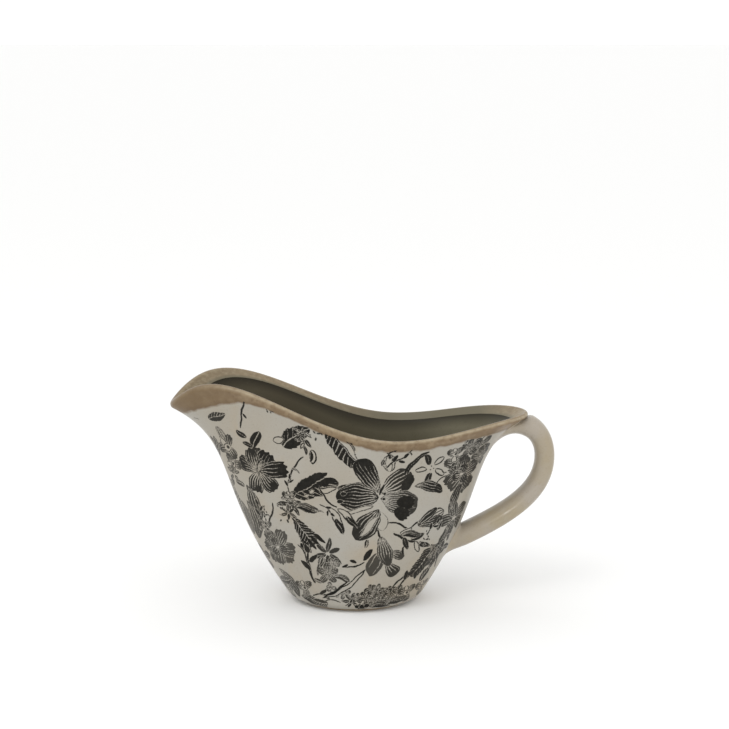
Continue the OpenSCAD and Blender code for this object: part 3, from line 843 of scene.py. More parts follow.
# Closed shell: a fine outside grid with the print's fields, a coarser grid sunk into the wall, and edges that
# fan from each coarse point to the fine ones beside it
def buildSheet(name, node, tFrom, tTo, columns, material, seed, mirrored):
    t, acrossShares, rows = sheetRows(tFrom, tTo, columns)
    normals = gridNormals(rows, False)
    ink, tone = printFields(rows.reshape(-1, 3), seed)
    fade = bandDepth(t) - (lipHeight(t) - rows[..., 2])
    outside = rows + normals * coatThickness(t, rows[..., 2])[..., None]
    step = sheets["coarse"]
    inside = (rows - normals * coats["sink"])[::step, ::step]
    fineRows, fineColumns = rows.shape[:2]
    coarseRows, coarseColumns = inside.shape[:2]
    size, spread = fineRows * fineColumns, coarseRows * coarseColumns
    number = np.arange(size).reshape(fineRows, fineColumns)
    coarse = size + np.arange(spread).reshape(coarseRows, coarseColumns)
    faces = [gridFaces(fineRows, fineColumns, False), gridFaces(coarseRows, coarseColumns, False, size, True)]
    edges = [(number[0], coarse[0]), (number[:, -1], coarse[:, -1]),
        (number[-1, ::-1], coarse[-1, ::-1]), (number[::-1, 0], coarse[::-1, 0])]
    for outer, inner in edges:
        many = outer[:-1].reshape(-1, step)
        ends = np.append(many, np.append(many[1:, :1], outer[-1:])[:, None], 1)
        half = step // 2
        for j in range(step):
            low = inner[:-1] if j < half else inner[1:]
            faces.append(np.stack([low, ends[:, j + 1], ends[:, j]], -1))
        faces.append(np.stack([inner[:-1], inner[1:], ends[:, half]], -1))
    points = np.vstack([outside.reshape(-1, 3), inside.reshape(-1, 3)])
    allNormals = np.vstack([normals.reshape(-1, 3), normals[::step, ::step].reshape(-1, 3)])
    fields = {"ink": np.append(ink, np.full(spread, noInk)), "tone": np.append(tone, np.ones(spread)),
        "fade": np.append(fade.ravel(), np.full(spread, noStain))}
    if mirrored:
        points, allNormals = points * [1, -1, 1], allNormals * [1, -1, 1]
        faces = [group[:, ::-1] for group in faces]
    piece = makePiece(name, points, faces, material, [node], fields, allNormals)
    run = np.linalg.norm(np.diff(rows[:, fineColumns // 2], axis=0), axis=1)
    across, upward = np.meshgrid(acrossShares, np.concatenate([[0], np.cumsum(run)]) / run.sum())
    mapSheet(piece, across, upward, step)


# Map of a sheet: the outside fills it, and the sunk face and the edges lie in a strip below
def mapSheet(piece, across, upward, step):
    layer = piece.data.uv_layers.new(name="OFBake")
    corners = np.empty(len(piece.data.loops), np.int32)
    piece.data.loops.foreach_get("vertex_index", corners)
    below = sheets["mapBelow"]
    sunk = upward[::step, ::step].ravel() * below * 2 / 3
    u = np.append(across.ravel(), across[::step, ::step].ravel())[corners]
    v = np.append(below + (1 - below) * upward.ravel(), sunk)[corners]
    starts = np.empty(len(piece.data.polygons), np.int32)
    piece.data.polygons.foreach_get("loop_start", starts)
    outsideFaces = (across.shape[0] - 1) * (across.shape[1] - 1)
    isSide = np.arange(len(corners)) >= starts[outsideFaces]
    v = np.where(isSide & (v > below * 2 / 3), below / 3, v)
    layer.data.foreach_set("uv", np.stack([u, v], -1).astype(np.float32).ravel())


# Two sheets on each side, because one would have too many triangles
def buildSheets(material):
    join, columns = sheets["join"], sheets["columns"]
    ahead = sheets["coarse"] * round(columns * sheets["frontShare"] / sheets["coarse"])
    spans = [("Front", 180.0, join, ahead), ("Rear", join, 360.0 - coats["bareAngle"], columns - ahead)]
    sides = [("Left", "transfer_left", 0, False), ("Right", "transfer_right", 1, True)]
    for side, node, seed, mirrored in sides:
        for part, tFrom, tTo, count in spans:
            buildSheet(f"transfer{side}{part}", node, tFrom, tTo, count, material, seed, mirrored)


# One leaf or petal, in shares of its motif's size. base and tip set how blunt its two ends are, bend bows it,
# veins, ribs and mid are fine lines left bare, and a drawn one is pale with dark lines instead
plainBlade = dict(x=0, y=0, turn=0, long=1, wide=0.4, base=0.6, tip=0.6, bend=0, veins=0, vein=0.3,
    ribs=0, rib=0.32, slant=1.2, ribSide=0, mid=0, teeth=0, tooth=0.0, ruffle=0.0, drawn=False,
    line=0.5, tone=1.0, gap=0.35)


# A leaf or petal that points at turn degrees from x, y
def blade(turn, long=1.0, wide=0.4, x=0.0, y=0.0, **more):
    return {**plainBlade, "turn": turn, "long": long, "wide": wide, "x": x, "y": y, **more}


# A round dot: a blade as wide as it is long, centred on x, y
def dot(x, y, size, **more):
    return blade(0, size, size, x - size / 2, y, base=0.5, tip=0.5, **more)


# A thin stalk with blunt ends
def stalk(turn, long, x=0.0, y=0.0, bend=0.0, wide=0.045, **more):
    return blade(turn, long, wide, x, y, base=0.12, tip=0.2, bend=bend, gap=0.2, **more)


# Shapes round a ring: each at radius (cos a, sin a) and pointing outwards, for evenly spaced a
def around(count, start, radius, make):
    turns = [start + 360 * i / count for i in range(count)]
    return [{**make(i, turn), "x": radius * math.cos(math.radians(turn)),
        "y": radius * math.sin(math.radians(turn)), "turn": turn} for i, turn in enumerate(turns)]


hibiscus = [
    blade(158, 1.0, 0.66, base=0.7, tip=0.32, veins=6, vein=0.36, ruffle=0.05, tone=0.95),
    blade(-106, 0.98, 0.74, base=0.65, tip=0.3, veins=6, vein=0.42, ruffle=0.06, tone=0.95),
    blade(102, 1.02, 0.86, base=0.65, tip=0.3, veins=8, vein=0.34, ruffle=0.06, tone=0.94),
    blade(-46, 1.08, 0.68, base=0.65, tip=0.32, veins=6, vein=0.38, ruffle=0.05, tone=0.97),
    blade(50, 1.02, 0.86, base=0.7, tip=0.3, veins=6, vein=0.26, ruffle=0.08),
    blade(8, 1.36, 0.72, base=0.75, tip=0.3, veins=4, vein=0.3, ruffle=0.09),
    blade(62, 0.45, 0.05, base=0.2, tip=0.2, drawn=True, line=0.05, gap=0.4),
    dot(0.24, 0.4, 0.13, tone=0.75), dot(0.36, 0.3, 0.1, tone=0.8), dot(0.14, 0.5, 0.1, tone=0.8),
]
lily = [
    blade(-82, 0.5, 0.3, 0.05, -0.42, base=0.5, tip=0.5, drawn=True, line=0.35, tone=0.75),
    blade(90, 0.46, 0.34, 0.25, 0.66, base=0.5, tip=0.6, drawn=True, veins=2, vein=0.38, line=0.55),
    blade(190, 0.68, 0.17, -0.385, 0.32, base=0.5, tip=0.5, mid=0.4),
    blade(34, 0.96, 0.54, 0.02, 0.08, base=0.85, tip=0.5, veins=6, vein=0.46, tone=0.92),
    blade(62, 0.5, 0.26, 0.62, 0.1, base=0.5, tip=0.5, ruffle=0.1, gap=-0.2, tone=0.97),
    blade(-15, 1.0, 0.66, 0.03, -0.06, base=0.85, tip=0.45, veins=10, vein=0.32, tone=0.86),
    blade(0, 0.48, 0.36, 0.46, -0.2, base=0.5, tip=0.4, ruffle=0.1, gap=0.1),
    blade(-36, 0.44, 0.32, 0.42, -0.36, base=0.5, tip=0.4, ruffle=0.12, gap=0.1),
    blade(232, 0.98, 0.56, 0.02, -0.36, base=0.75, tip=0.55, veins=6, vein=0.33, tone=0.95),
    blade(233, 0.6, 0.18, -0.06, -0.56, base=0.5, tip=0.5, drawn=True, line=0.3, gap=0.34, tone=0.8),
    blade(181, 1.08, 0.7, 0.0, 0.0, base=0.75, tip=0.6, veins=8, vein=0.3),
    blade(196, 0.84, 0.12, -0.12, -0.24, base=0.5, tip=0.5, drawn=True, line=0.3, gap=0.3),
    blade(122, 1.05, 0.54, 0.02, 0.1, base=0.95, tip=0.5, veins=6, vein=0.32),
    blade(70, 0.3, 0.06, 0.02, 0.05, base=0.4, tip=0.4, gap=0.4), dot(0.12, -0.08, 0.07), dot(0.16, 0.06, 0.07),
    blade(0, 0.14, 0.1, -0.95, 0.08, base=0.5, tip=0.6), blade(10, 0.16, 0.1, -1.06, -0.14, base=0.5, tip=0.6),
]
tipLeaf = [blade(0, 1, 0.26, base=0.6, tip=0.8, drawn=True, line=0.5, bend=0.05),
    blade(-3, 0.56, 0.22, 0.44, 0.02, base=0.7, tip=0.7, gap=0.0, mid=0.3)]
peony = [
    blade(200, 1.0, 0.74, base=0.5, tip=0.35, veins=6, vein=0.38, ruffle=0.08, tone=0.88),
    blade(-80, 1.05, 0.7, base=0.5, tip=0.35, veins=6, vein=0.38, ruffle=0.08, tone=0.86),
    blade(-40, 1.05, 0.76, base=0.5, tip=0.32, veins=6, vein=0.32, ruffle=0.08, tone=0.9),
    blade(-130, 0.95, 0.7, base=0.5, tip=0.35, veins=4, vein=0.4, ruffle=0.1, tone=0.84),
    blade(140, 0.9, 0.7, base=0.5, tip=0.35, veins=6, vein=0.35, ruffle=0.08, tone=0.88),
    blade(85, 1.0, 0.74, base=0.5, tip=0.32, veins=6, vein=0.32, ruffle=0.07, tone=0.92),
    blade(25, 1.08, 0.7, base=0.5, tip=0.32, veins=6, vein=0.34, ruffle=0.08, tone=0.9),
    blade(190, 0.55, 0.48, base=0.5, tip=0.4, veins=4, vein=0.28, ruffle=0.1, tone=0.96),
    blade(70, 0.56, 0.5, base=0.5, tip=0.4, veins=4, vein=0.28, ruffle=0.1),
    blade(-50, 0.55, 0.48, base=0.5, tip=0.4, veins=4, vein=0.24, ruffle=0.1),
    dot(0.02, 0.02, 0.26, drawn=True, line=0.4, tone=0.95),
]
roundFlower = around(5, 20, 0.14, lambda i, turn: blade(turn, 0.84, 0.62, base=0.5, tip=0.4,
    veins=4, vein=0.28, tone=0.9 + 0.03 * (i % 3))) + [dot(0, 0, 0.26, drawn=True, line=0.35)]
openFlower = around(5, 12, 0.28, lambda i, turn: blade(turn, 0.74, 0.38, base=0.5, tip=0.5,
    drawn=i % 2 == 0, mid=0.25, line=0.62, tone=0.98)) + [dot(0.08, 0.14, 0.1), dot(-0.1, -0.04, 0.09),
    dot(0.1, -0.1, 0.09)]
starFlower = around(6, 8, 0.12, lambda i, turn: blade(turn, 0.92 if i % 2 else 0.7, 0.3, base=0.6, tip=0.75,
    mid=0.25 if i % 2 else 0, tone=0.92)) + [stalk(125, 0.7, 0.05, 0.1, 0.08)]
rosette = [
    blade(165, 1.0, 0.72, base=0.5, tip=0.4, veins=4, vein=0.4, ruffle=0.08, tone=0.82),
    blade(40, 1.0, 0.7, base=0.5, tip=0.4, veins=4, vein=0.36, ruffle=0.08, tone=0.86),
    blade(-80, 1.0, 0.72, base=0.5, tip=0.4, veins=4, vein=0.4, ruffle=0.06, tone=0.78),
    blade(100, 0.7, 0.5, base=0.5, tip=0.4, drawn=True, line=0.5, tone=0.9),
    dot(0, 0, 0.62, drawn=True, line=0.42, tone=0.9), dot(0.05, 0.02, 0.28, tone=0.85),
]
# Small five-petalled florets, scattered round the middle
florets = [
    {**e, "x": e["x"] * big + x, "y": e["y"] * big + y, "long": e["long"] * big, "wide": e["wide"] * big,
        "gap": 0.26}
    for x, y, big in ((0.6, 0.36, 0.56), (-0.62, 0.3, 0.52), (0.24, -0.62, 0.52), (-0.62, -0.62, 0.46),
        (0.02, 0.02, 0.66))
    for e in around(5, 20 + 70 * x, 0.12, lambda i, turn: blade(turn, 0.82, 0.6, base=0.5, tip=0.36,
        veins=2, vein=0.34, tone=0.98 - 0.05 * i)) + [dot(0, 0, 0.2, tone=0.9)]]
leaf = [blade(0, 1, 0.44, base=0.5, tip=0.7, ribs=7, rib=0.28, ribSide=1, mid=0.42, teeth=8, tooth=0.06)]
darkLeaf = [blade(0, 1, 0.56, base=0.45, tip=0.65, ribs=6, rib=0.22, ribSide=1, mid=0.55, teeth=6, tooth=0.08,
    bend=0.05), blade(158, 0.32, 0.22, 0.16, 0.16, drawn=True, line=0.5, tone=0.95)]
bigLeaf = [
    blade(-2, 1.0, 0.4, 0, -0.04, base=0.42, tip=0.45, ribs=7, rib=0.4, ribSide=-1, slant=1.6, teeth=5,
        tooth=0.06, bend=0.03),
    blade(-12, 0.4, 0.14, 0.56, -0.1, base=0.4, tip=0.7, drawn=True, line=0.5, bend=-0.08),
    dot(0.42, -0.08, 0.1, drawn=True, line=0.3), dot(0.26, -0.12, 0.08, drawn=True, line=0.3),
    blade(10, 0.88, 0.2, 0.02, 0.03, base=0.5, tip=0.6, teeth=8, tooth=0.1, bend=0.05, gap=0.42),
]
stripedLeaf = [blade(0, 1, 0.36, base=0.8, tip=0.55, veins=4, vein=0.3, bend=0.1)]
shadedLeaf = [blade(0, 1, 0.34, base=0.65, tip=0.6, veins=4, vein=0.26, bend=0.04, tone=0.86),
    blade(-3, 0.8, 0.12, 0.08, -0.06, base=0.6, tip=0.6, bend=0.04, gap=0.2)]
slimLeaf = [blade(0, 1, 0.17, base=0.6, tip=0.7, mid=0.34, bend=0.07, tone=0.95)]
bladeLeaf = [blade(0, 1, 0.1, base=0.6, tip=0.6, drawn=True, line=0.5, bend=-0.09),
    blade(0, 0.6, 0.05, 0.02, 0, base=0.6, tip=0.8, bend=-0.05, gap=0)]
featherLeaf = [blade(0, 1, 0.42, base=0.45, tip=0.6, ribs=9, rib=0.42, slant=1.3, ribSide=-1, teeth=7,
    tooth=0.05, bend=0.04), blade(3, 0.92, 0.14, 0.02, 0.06, base=0.5, tip=0.6, drawn=True, line=0.4, gap=0.4,
    bend=0.05)]
tailLeaf = [blade(0, 0.92, 0.42, base=1.0, tip=0.3, ribs=10, rib=0.3, slant=1.7, mid=0.42, teeth=8, tooth=0.1,
    bend=0.03)] + [blade(turn, 0.34, 0.09, 0.7, turn / 90, base=0.4, tip=0.6, gap=0.1)
    for turn in (-20, -10, 0, 9, 18)]
petalCup = [
    blade(0, 1, 0.5, base=0.55, tip=0.5, veins=4, vein=0.5, drawn=True, line=0.55, tone=0.96),
    blade(-14, 0.92, 0.34, base=0.65, tip=0.5, veins=4, vein=0.26, tone=0.92),
    blade(16, 0.84, 0.26, base=0.7, tip=0.5, veins=2, vein=0.3, tone=0.95)]
bell = [
    blade(-14, 0.72, 0.4, 0.26, 0.26, base=0.9, tip=0.4, veins=4, vein=0.36, tone=0.8, bend=0.08),
    stalk(84, 0.34, 0.92, 0.2, 0.1, 0.09),
    blade(-48, 0.82, 0.56, 0.14, -0.08, base=0.9, tip=0.36, veins=4, vein=0.42, tone=0.88),
    blade(-114, 1.1, 0.66, -0.04, 0.34, base=0.8, tip=0.7, veins=2, vein=0.3, tone=0.72),
    blade(-74, 1.36, 0.62, -0.05, 1.04, base=0.6, tip=0.5, veins=6, vein=0.36, tone=0.82),
    stalk(110, 0.4, -0.06, 1.0, 0, 0.07), blade(232, 0.6, 0.24, -0.38, 0.5, base=0.5, tip=0.6),
    stalk(196, 0.9, -0.7, -0.05, 0.1, 0.06), blade(160, 0.3, 0.12, -1.0, -0.1, base=0.5, tip=0.6),
    blade(200, 0.28, 0.12, -1.36, -0.2, base=0.5, tip=0.6)]
bud = [blade(0, 1, 0.5, base=0.5, tip=0.7, drawn=True, line=0.75),
    blade(-4, 0.75, 0.2, 0.1, -0.06, base=0.6, tip=0.6)]
leafPair = [blade(52, 1.1, 0.62, base=0.5, tip=0.6, mid=0.5, bend=0.06),
    blade(160, 0.75, 0.27, 0, 0, base=0.6, tip=0.7, mid=0.3, tone=0.97),
    blade(-38, 0.8, 0.32, -0.92, 1.0, base=0.6, tip=0.6, mid=0.3)]
twig = [stalk(0, 1, 0, 0, 0.06, 0.07), blade(38, 0.38, 0.15, 0.42, 0.05, base=0.5, tip=0.6),
    blade(-48, 0.32, 0.13, 0.66, 0.0, base=0.5, tip=0.6), blade(8, 0.3, 0.16, 0.92, 0, base=0.5, tip=0.7)]
twinLeaves = [stalk(0, 0.9, 0, 0, -0.05, 0.07)] + [blade(turn, size, size * 0.42, x, y, base=0.5, tip=0.7,
    drawn=kind, line=0.5, mid=0 if kind else 0.22, tone=0.97) for turn, size, x, y, kind in (
    (52, 0.38, 0.2, 0.03, True), (-50, 0.4, 0.36, 0.0, False), (40, 0.44, 0.56, 0.02, False),
    (-42, 0.38, 0.72, 0.0, True), (2, 0.4, 0.86, 0.0, False))]
fern = [stalk(0, 1, 0, 0, 0.05, 0.05)] + [blade(side * 34, 0.34 - 0.014 * i, 0.11, 0.08 + 0.11 * i, side * 0.02,
    base=0.4, tip=0.4, gap=0.18, tone=0.92) for i in range(8) for side in (1, -1)]
curl = [stalk(60, 0.7, 0, 0, 0.3, 0.11), stalk(112, 0.5, 0.03, 0, -0.2, 0.11), dot(0.36, 0.62, 0.18)]
stem = [stalk(0, 1, 0, 0, 0.1, 0.06)]
sprig = [stalk(0, 1, 0, 0, -0.05, 0.055), blade(60, 0.16, 0.07, 0.52, 0, base=0.5, tip=0.6)]
doubleStem = [stalk(0, 1, 0, 0.0, 0.1, 0.09), stalk(3, 0.8, 0.1, -0.06, 0.1, 0.06)]
dots = [dot(0, 0, 0.6), dot(0.5, 0.1, 0.5), dot(-0.6, 0.0, 0.4)]
crumbs = [blade(200 * x + 90 * y, s * 1.5, s * 0.7, x, y, base=0.5, tip=0.5, tone=0.92) for x, y, s in (
    (0, 0, 0.34), (0.5, 0.2, 0.24), (-0.4, 0.3, 0.28), (0.2, 0.6, 0.22), (-0.2, -0.5, 0.28), (0.6, -0.3, 0.2),
    (-0.7, -0.2, 0.2), (0.0, 1.0, 0.18))]

# Where each motif lies on the side: plan angle, height in mm, size in mm, turn, and how dark it is. The pale
# values at plan angles near the spout are partly the print's own tone and partly painted sheen of the glaze
# seen at a glancing angle
layout = [
    (sprig, 232.5, 111.6, 17.5, -108, 1.0), (leafPair, 222.5, 86.5, 9, 8, 1.0),
    (hibiscus, 221.5, 73.5, 12.7, 0, 1.0),
    (slimLeaf, 185, 99.5, 5, -30, 0.95), (slimLeaf, 192, 98.5, 4, -24, 0.9),
    (darkLeaf, 240, 88, 18, 36, 1.0), (twinLeaves, 253, 98, 11, -88, 1.0), (bud, 254, 87, 8, -88, 1.0),
    (crumbs, 258, 96, 4.5, 0, 0.9), (crumbs, 250, 95, 4, 40, 1.0), (featherLeaf, 262.5, 98.5, 25, -58, 1.0),
    (twig, 238, 110.4, 8, -30, 0.9), (crumbs, 243, 108, 3, 0, 0.8),
    (stem, 240, 70, 15, 60, 1.0), (slimLeaf, 242, 77, 5.5, -35, 1.0),
    (starFlower, 237.5, 58, 7.5, 0, 1.0), (crumbs, 232, 51.5, 5, 40, 1.0),
    (starFlower, 235, 53, 5, 20, 1.0), (twig, 238, 64, 8, 84, 1.0),
    (leaf, 238, 62, 5.5, 200, 1.0), (leaf, 238, 61, 5, -40, 1.0), (shadedLeaf, 240, 57, 13, -12, 1.0),
    (slimLeaf, 251, 55, 5, -12, 1.1), (tailLeaf, 236.2, 51.5, 21, -54, 1.0),
    (bigLeaf, 240.5, 63, 24, 22, 1.0), (rosette, 238, 61.5, 4.5, 0, 1.1), (curl, 233, 58, 4.5, 150, 1.0),
    (stem, 226, 57, 16, -116, 0.95), (twig, 219, 55, 9, -120, 0.9), (crumbs, 217, 50, 4, 10, 0.85),
    # paler motifs near the spout: partly the print's own tone, partly painted sheen of the glancing glaze
    (leaf, 202, 99, 12, 18, 0.9), (featherLeaf, 203, 95, 11, -70, 0.72),
    (rosette, 203, 84, 8, 30, 0.95), (rosette, 202, 75, 6.5, 80, 0.9), (openFlower, 199, 70, 5, 0, 0.7),
    (shadedLeaf, 195, 89, 13, -100, 0.7), (leaf, 199, 66, 7, -20, 0.7),
    (stripedLeaf, 209, 65, 24, -84, 0.8), (stripedLeaf, 204, 56, 22, -84, 0.66),
    (shadedLeaf, 196, 55, 20, -84, 0.55),
    (twig, 213, 45, 11, 100, 0.9), (leaf, 210, 47, 7, -96, 0.8),
    (stem, 262, 57, 14, 128, 1.0), (lily, 281.1, 62.8, 20, 0, 1.0),
    (tipLeaf, 258.5, 57, 15.5, -63, 1.0), (tipLeaf, 262.5, 56.5, 14, -46, 1.0), (twig, 254, 58.5, 8, -40, 1.0),
    (doubleStem, 290.9, 73.9, 17, 44, 1.0), (bud, 281, 79, 4, 66, 1.0),
    (curl, 283.5, 82.6, 7.5, 0, 1.0), (curl, 291.5, 84.2, 5.5, 20, 1.0), (twig, 283, 78, 11, 30, 1.0),
    (openFlower, 303, 76.5, 8.5, 30, 1.0), (stripedLeaf, 297, 67.5, 16, -16, 1.0), (stem, 308, 67, 9, 34, 1.0),
    (roundFlower, 329, 85, 8, 40, 0.9), (roundFlower, 320, 86, 6, 10, 0.95), (rosette, 313, 83, 5.5, 0, 1.0),
    (roundFlower, 335, 79, 7, 10, 0.85), (rosette, 316, 77, 7, 0, 1.0), (peony, 324, 71, 11, 0, 0.95),
    (twig, 324, 90, 9, 60, 0.9), (shadedLeaf, 314, 88, 7, 60, 0.9), (crumbs, 318, 74, 5, 100, 1.0),
    (roundFlower, 331, 47, 11, 20, 0.88), (stripedLeaf, 326, 51, 15, 76, 0.94),
    (shadedLeaf, 327, 43, 13, -108, 0.84),
    (stem, 287, 49, 15, -30, 1.0), (stem, 298, 43, 13, 34, 1.0), (petalCup, 303, 46, 16, 24, 1.0),
    (twinLeaves, 290, 43, 18, -26, 1.0), (shadedLeaf, 294, 42, 11, -6, 1.0), (leaf, 318, 42, 6, 66, 1.0),
    (twig, 311, 40, 9, 50, 1.0), (leaf, 277, 40, 5, -110, 1.0),
    (bell, 285.1, 28.7, 12.3, 0, 1.0), (starFlower, 254.5, 32.5, 8.5, 14, 0.95),
    (twig, 240, 15.5, 18, 98, 0.95), (stem, 236, 36, 11, -66, 0.95), (slimLeaf, 244, 20, 11, 64, 0.9),
    (roundFlower, 252, 21.5, 6, 0, 0.8), (shadedLeaf, 256, 20.5, 9, -18, 0.88), (leaf, 246, 16, 5, 150, 0.85),
    (roundFlower, 257, 27, 3.6, 30, 0.85), (leaf, 247, 26, 5.5, 60, 0.85), (rosette, 252, 14, 3.4, 60, 0.85),
    (peony, 217.5, 32.5, 10.8, 40, 0.72), (rosette, 214, 43, 5, 0, 0.8), (twig, 212, 47, 6, -60, 0.85),
    (stripedLeaf, 207, 20, 18, -58, 0.72), (rosette, 228, 12, 6, 0, 0.9), (twig, 234, 8.5, 11, 4, 0.9),
    (shadedLeaf, 220, 7, 15, -22, 0.86), (leaf, 246, 4.5, 9, 176, 0.8),
    (leaf, 257, 9, 5.5, 150, 0.9), (leaf, 258, 8.5, 5, 40, 0.9), (roundFlower, 262, 11, 3.6, 0, 0.86),
    (starFlower, 266, 7.2, 5, 0, 0.95), (twig, 261, 4.4, 7, 20, 0.9), (florets, 277.5, 8.6, 6.2, 30, 0.98),
    (roundFlower, 285, 13, 3.6, 40, 0.84), (florets, 289, 9.5, 5.6, 0, 0.9), (stem, 296, 11, 15, 42, 0.95),
    (florets, 297, 9.5, 5.6, 0, 0.98), (roundFlower, 305, 10, 4.6, 0, 0.84), (rosette, 312.5, 9, 6.2, 0, 0.95),
    (shadedLeaf, 281, 3.6, 13, 2, 0.98), (shadedLeaf, 294, 4.2, 13, 8, 0.9), (dots, 275, 3.6, 5, 0, 1.0),
    (twig, 302, 12, 14, 48, 0.95), (fern, 322, 34, 20, -126, 1.0), (fern, 329, 37, 17, -114, 0.92),
    (florets, 324, 31, 4.5, 0, 1.0), (leafPair, 332, 31, 6, -60, 0.85), (crumbs, 311, 38, 4, 0, 1.0),
    # paler motifs near the spout: partly the print's own tone, partly painted sheen of the glancing glaze
    (featherLeaf, 190, 47, 16, 95, 0.6), (roundFlower, 189, 24, 8, 0, 0.6), (rosette, 188, 62, 6, 0, 0.6),
    (twig, 186, 74, 13, 85, 0.6), (leaf, 195, 12, 12, 10, 0.7), (rosette, 205, 8, 5.5, 0, 0.75),
    (leaf, 322, 14, 10, 60, 0.9), (rosette, 330, 10, 6, 0, 0.85), (twig, 335, 20, 13, 90, 0.85),
    (bladeLeaf, 242.4, 7.8, 27, 35, 1.0), (stem, 243, 6, 9, 0, 0.8),
]


# How the shapes are cut: how far the drawing wavers in mm, how fine the bare lines are and where they stop
cutting = dict(waver=0.24, waverSize=9.0, veinShare=1.5, veinStart=0.03, veinStop=(0.7, 1.0), faint=0.45)


# Shifts both ways, so that no line is quite true: p + w sin(a (q + 0.4 p)) and a finer wave, and q alike
def wavered(p, q):
    a, w = 2 * np.pi / cutting["waverSize"], cutting["waver"]
    sideways = np.sin(a * (q + 0.4 * p)) + 0.25 * np.sin(2.3 * a * (0.6 * p - q) + 1)
    upwards = np.sin(a * (p - 0.5 * q) + 2) + 0.25 * np.sin(2.1 * a * (p + 0.7 * q))
    return p + w * sideways, q + w * upwards


# Half width (k / m)^base ((1 - k) / (1 - m))^tip, from which the distance to the outline and the bare lines
# follow: k runs along the blade, m is where it is widest
def bladeField(p, q, size, e):
    c, s = cosd(e["turn"]), sind(e["turn"])
    x, y = p - e["x"] * size, q - e["y"] * size
    long = e["long"] * size
    along, side = (x * c + y * s) / long, y * c - x * s
    side = side - e["bend"] * long * 4 * along * (1 - along)
    if e["ruffle"]:
        along = along * (1 + e["ruffle"] * (1 + np.cos(side / (e["wide"] * size) * 22)) / 2)
    k = np.clip(along, 0, 1)
    widest = e["base"] / (e["base"] + e["tip"])
    half = e["wide"] * size / 2 * (k / widest) ** e["base"] * ((1 - k) / (1 - widest)) ** e["tip"]
    if e["teeth"]:
        half = half * (1 + e["tooth"] * (2 * ((k * e["teeth"]) % 1) - 1))
    beyond = np.maximum(-along, along - 1) * long
    edge = np.where(beyond > 0, -np.hypot(beyond, side), half - np.abs(side))
    across = side / np.maximum(half, 0.05)
    ink = edge
    if e["veins"]:
        vein = np.abs((across * e["veins"] / 2) % 1 - 0.5) * 2 / e["veins"] * half
        # each vein runs its own length, from near the base to somewhere before the tip
        number = np.floor(across * e["veins"] / 2) + 7 * e["turn"]
        start = cutting["veinStart"] * (1 + np.sin(2.4 * number))
        stop = mixed(*cutting["veinStop"], (1 + np.sin(5.1 * number + 1)) / 2)
        runs = np.clip(np.minimum(k - start, stop - k) * 9, 0, 1)
        if e["drawn"]:
            ink = np.maximum(np.minimum(edge, e["line"] - edge), np.minimum(edge, e["vein"] / 2 - vein))
        else:
            bare = e["vein"] / 2 * cutting["veinShare"] * (1.3 - 0.9 * k) * np.clip(edge / 0.7, 0, 1)
            ink = np.where(runs * bare > 0, np.minimum(ink, vein - bare * runs), ink)
    elif e["drawn"]:
        ink = np.minimum(edge, e["line"] - edge)
    if e["ribs"]:
        rib = np.abs((k * e["ribs"] - np.abs(across) * e["slant"]) % 1 - 0.5) * long / e["ribs"]
        cut = rib - e["rib"] / 2 * cutting["veinShare"] * np.clip(edge / 0.5, 0, 1)
        ink = np.minimum(ink, np.where((side * e["ribSide"] >= 0), cut, 9) if e["ribSide"] else cut)
    if e["mid"]:
        ink = np.minimum(ink, np.abs(side) - e["mid"] / 2)
    return edge, ink


# The wall's point at a plan angle and height, and its directions to the right and upwards along the wall
def wallFrame(turn, height):
    # the wall's point at a height in mm
    def place(t, z):
        return wallPoint(np.float64(t), z / lipHeight(np.float64(t)))

    right = unit(place(turn + 0.5, height) - place(turn - 0.5, height))
    rise = place(turn, height + 0.5) - place(turn, height - 0.5)
    return place(turn, height), right, unit(rise - right * (rise @ right))


# On the far side each motif moves: turn in degrees, lower as a share of its height, then at random by
# wanderTurn degrees, wanderHeight mm and a lean in degrees, and past turnedOver it is turned over
farSide = dict(turn=4, lower=0.05, wanderTurn=1.8, wanderHeight=1.4, lean=14, turnedOver=0.3)


# Lays the motifs one over another: ink is how far in mm a point is inside the inked shapes, and tone how dark
# they are. Each shape first clears a thin gap round itself, as an engraver does
def printFields(points, seed):
    ink, tone = np.full(len(points), noInk), np.ones(len(points))
    draw = np.random.default_rng(seed)
    for motif, turn, height, size, lean, dark in layout:
        shift = draw.uniform(-1, 1, 4) * seed
        centre, right, rise = wallFrame(turn + seed * farSide["turn"] + farSide["wanderTurn"] * shift[0],
            height * (1 - seed * farSide["lower"]) + farSide["wanderHeight"] * shift[1])
        near = np.flatnonzero(np.abs(points - centre).max(1) < size * 1.7 + 1)
        if not len(near):
            continue
        local = points[near] - centre
        p, q = local @ right, local @ rise
        tilt = lean + farSide["lean"] * shift[2]
        c, s = cosd(tilt), sind(tilt)
        p, q = p * c + q * s, q * c - p * s
        if shift[3] > farSide["turnedOver"]:
            q = -q
        p, q = wavered(p, q)
        dense, shade = ink[near], tone[near]
        for e in motif:
            edge, inked = bladeField(p, q, size, e)
            dense = np.minimum(dense, -(edge + e["gap"]))
            shade = np.where(inked > np.maximum(dense, -0.6), e["tone"] * dark, shade)
            dense = np.maximum(dense, inked)
        ink[near], tone[near] = dense, shade
    # the faintest shapes are brought part of the way up to full ink
    return ink, 1 - cutting["faint"] * (1 - np.clip(tone, 0, 1))


buildBody(castGlaze())
print("cast body made")
buildFootRing(bareClay())
print("foot ring made")
buildHandle(handleGlaze())
print("handle and slip joints made")
buildLining(liningGlaze())
buildStain(ironStain())
print("lining and stained lip made")
buildSheets(printedGlaze())
print("printed sheets made")

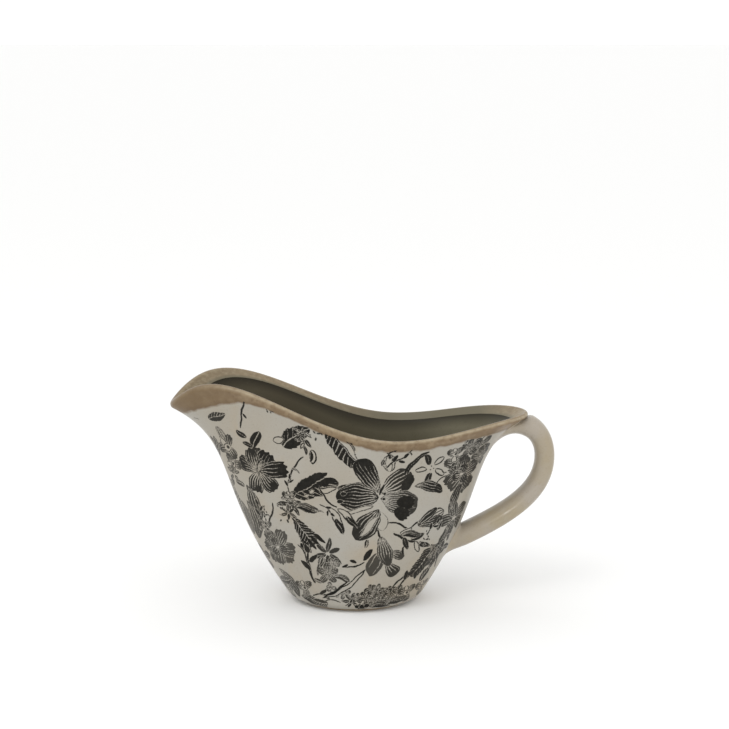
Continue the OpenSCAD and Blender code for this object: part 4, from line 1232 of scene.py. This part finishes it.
# The studio in metres, watts and degrees: a key light, a fill, and a small one for the glints
studio = dict(
    floor="#f9f9f8", floorHalf=60.0, world=1.04, aim=(0, 0, 0.06),
    lights=(("key", (-0.5, -0.6, 1.1), 0.7, 2.2), ("fill", (0.95, -0.7, 0.55), 0.8, 0.6),
        ("spark", (0.06, -0.98, 0.06), 0.028, 0.5)),
    eye=(-0.0169, -0.9701, 0.2919), look=(0, 0, 0.05), lens=94.07, sensor=36, aimUp=4.2, aimRight=0.283,
)


# A square of matt pale paper
def buildFloor():
    half = studio["floorHalf"]
    mesh = bpy.data.meshes.new("floor")
    corners = [(-half, -half, 0), (half, -half, 0), (half, half, 0), (-half, half, 0)]
    mesh.from_pydata(corners, [], [(0, 1, 2, 3)])
    floor = bpy.data.objects.new("floor", mesh)
    bpy.context.scene.collection.objects.link(floor)
    material, tree = startMaterial("matt paper")[:2]
    shader = addNode(tree, "BsdfPrincipled", {
        "Base Color": studio["floor"], "Roughness": 0.9, "Specular IOR Level": 0.2})
    addNode(tree, "OutputMaterial", {"Surface": shader})
    mesh.materials.append(material)


# A round area light that faces the jug
def softLight(name, place, size, power):
    lamp = bpy.data.lights.new(name, "AREA")
    lamp.shape, lamp.size, lamp.energy = "DISK", size, power
    light = bpy.data.objects.new(name, lamp)
    light.location = place
    light.rotation_euler = (Vector(studio["aim"]) - Vector(place)).to_track_quat("-Z", "Y").to_euler()
    bpy.context.scene.collection.objects.link(light)


# Camera at the eye, turned to the jug by yaw atan(x / y) and pitch atan(z / run), then a little up and right
def buildCamera():
    camera = bpy.data.objects.new("camera", bpy.data.cameras.new("camera"))
    camera.data.lens = studio["lens"]
    camera.data.sensor_width = studio["sensor"]
    camera.location = studio["eye"]
    ahead = Vector(studio["look"]) - camera.location
    yaw = math.atan2(ahead.x, ahead.y) + math.radians(studio["aimRight"])
    pitch = math.atan2(ahead.z, math.hypot(ahead.x, ahead.y)) + math.radians(studio["aimUp"])
    camera.rotation_euler = (math.pi / 2 + pitch, 0, -yaw)
    bpy.context.scene.collection.objects.link(camera)
    bpy.context.scene.camera = camera


buildFloor()
for light in studio["lights"]:
    softLight(*light)
world = bpy.data.worlds.new("studio")
world.use_nodes = True
background = world.node_tree.nodes["Background"]
background.inputs["Color"].default_value = (1, 1, 1, 1)
background.inputs["Strength"].default_value = studio["world"]
bpy.context.scene.world = world
bpy.context.scene.view_settings.view_transform = "Standard"
buildCamera()
print("floor, lights and camera placed")
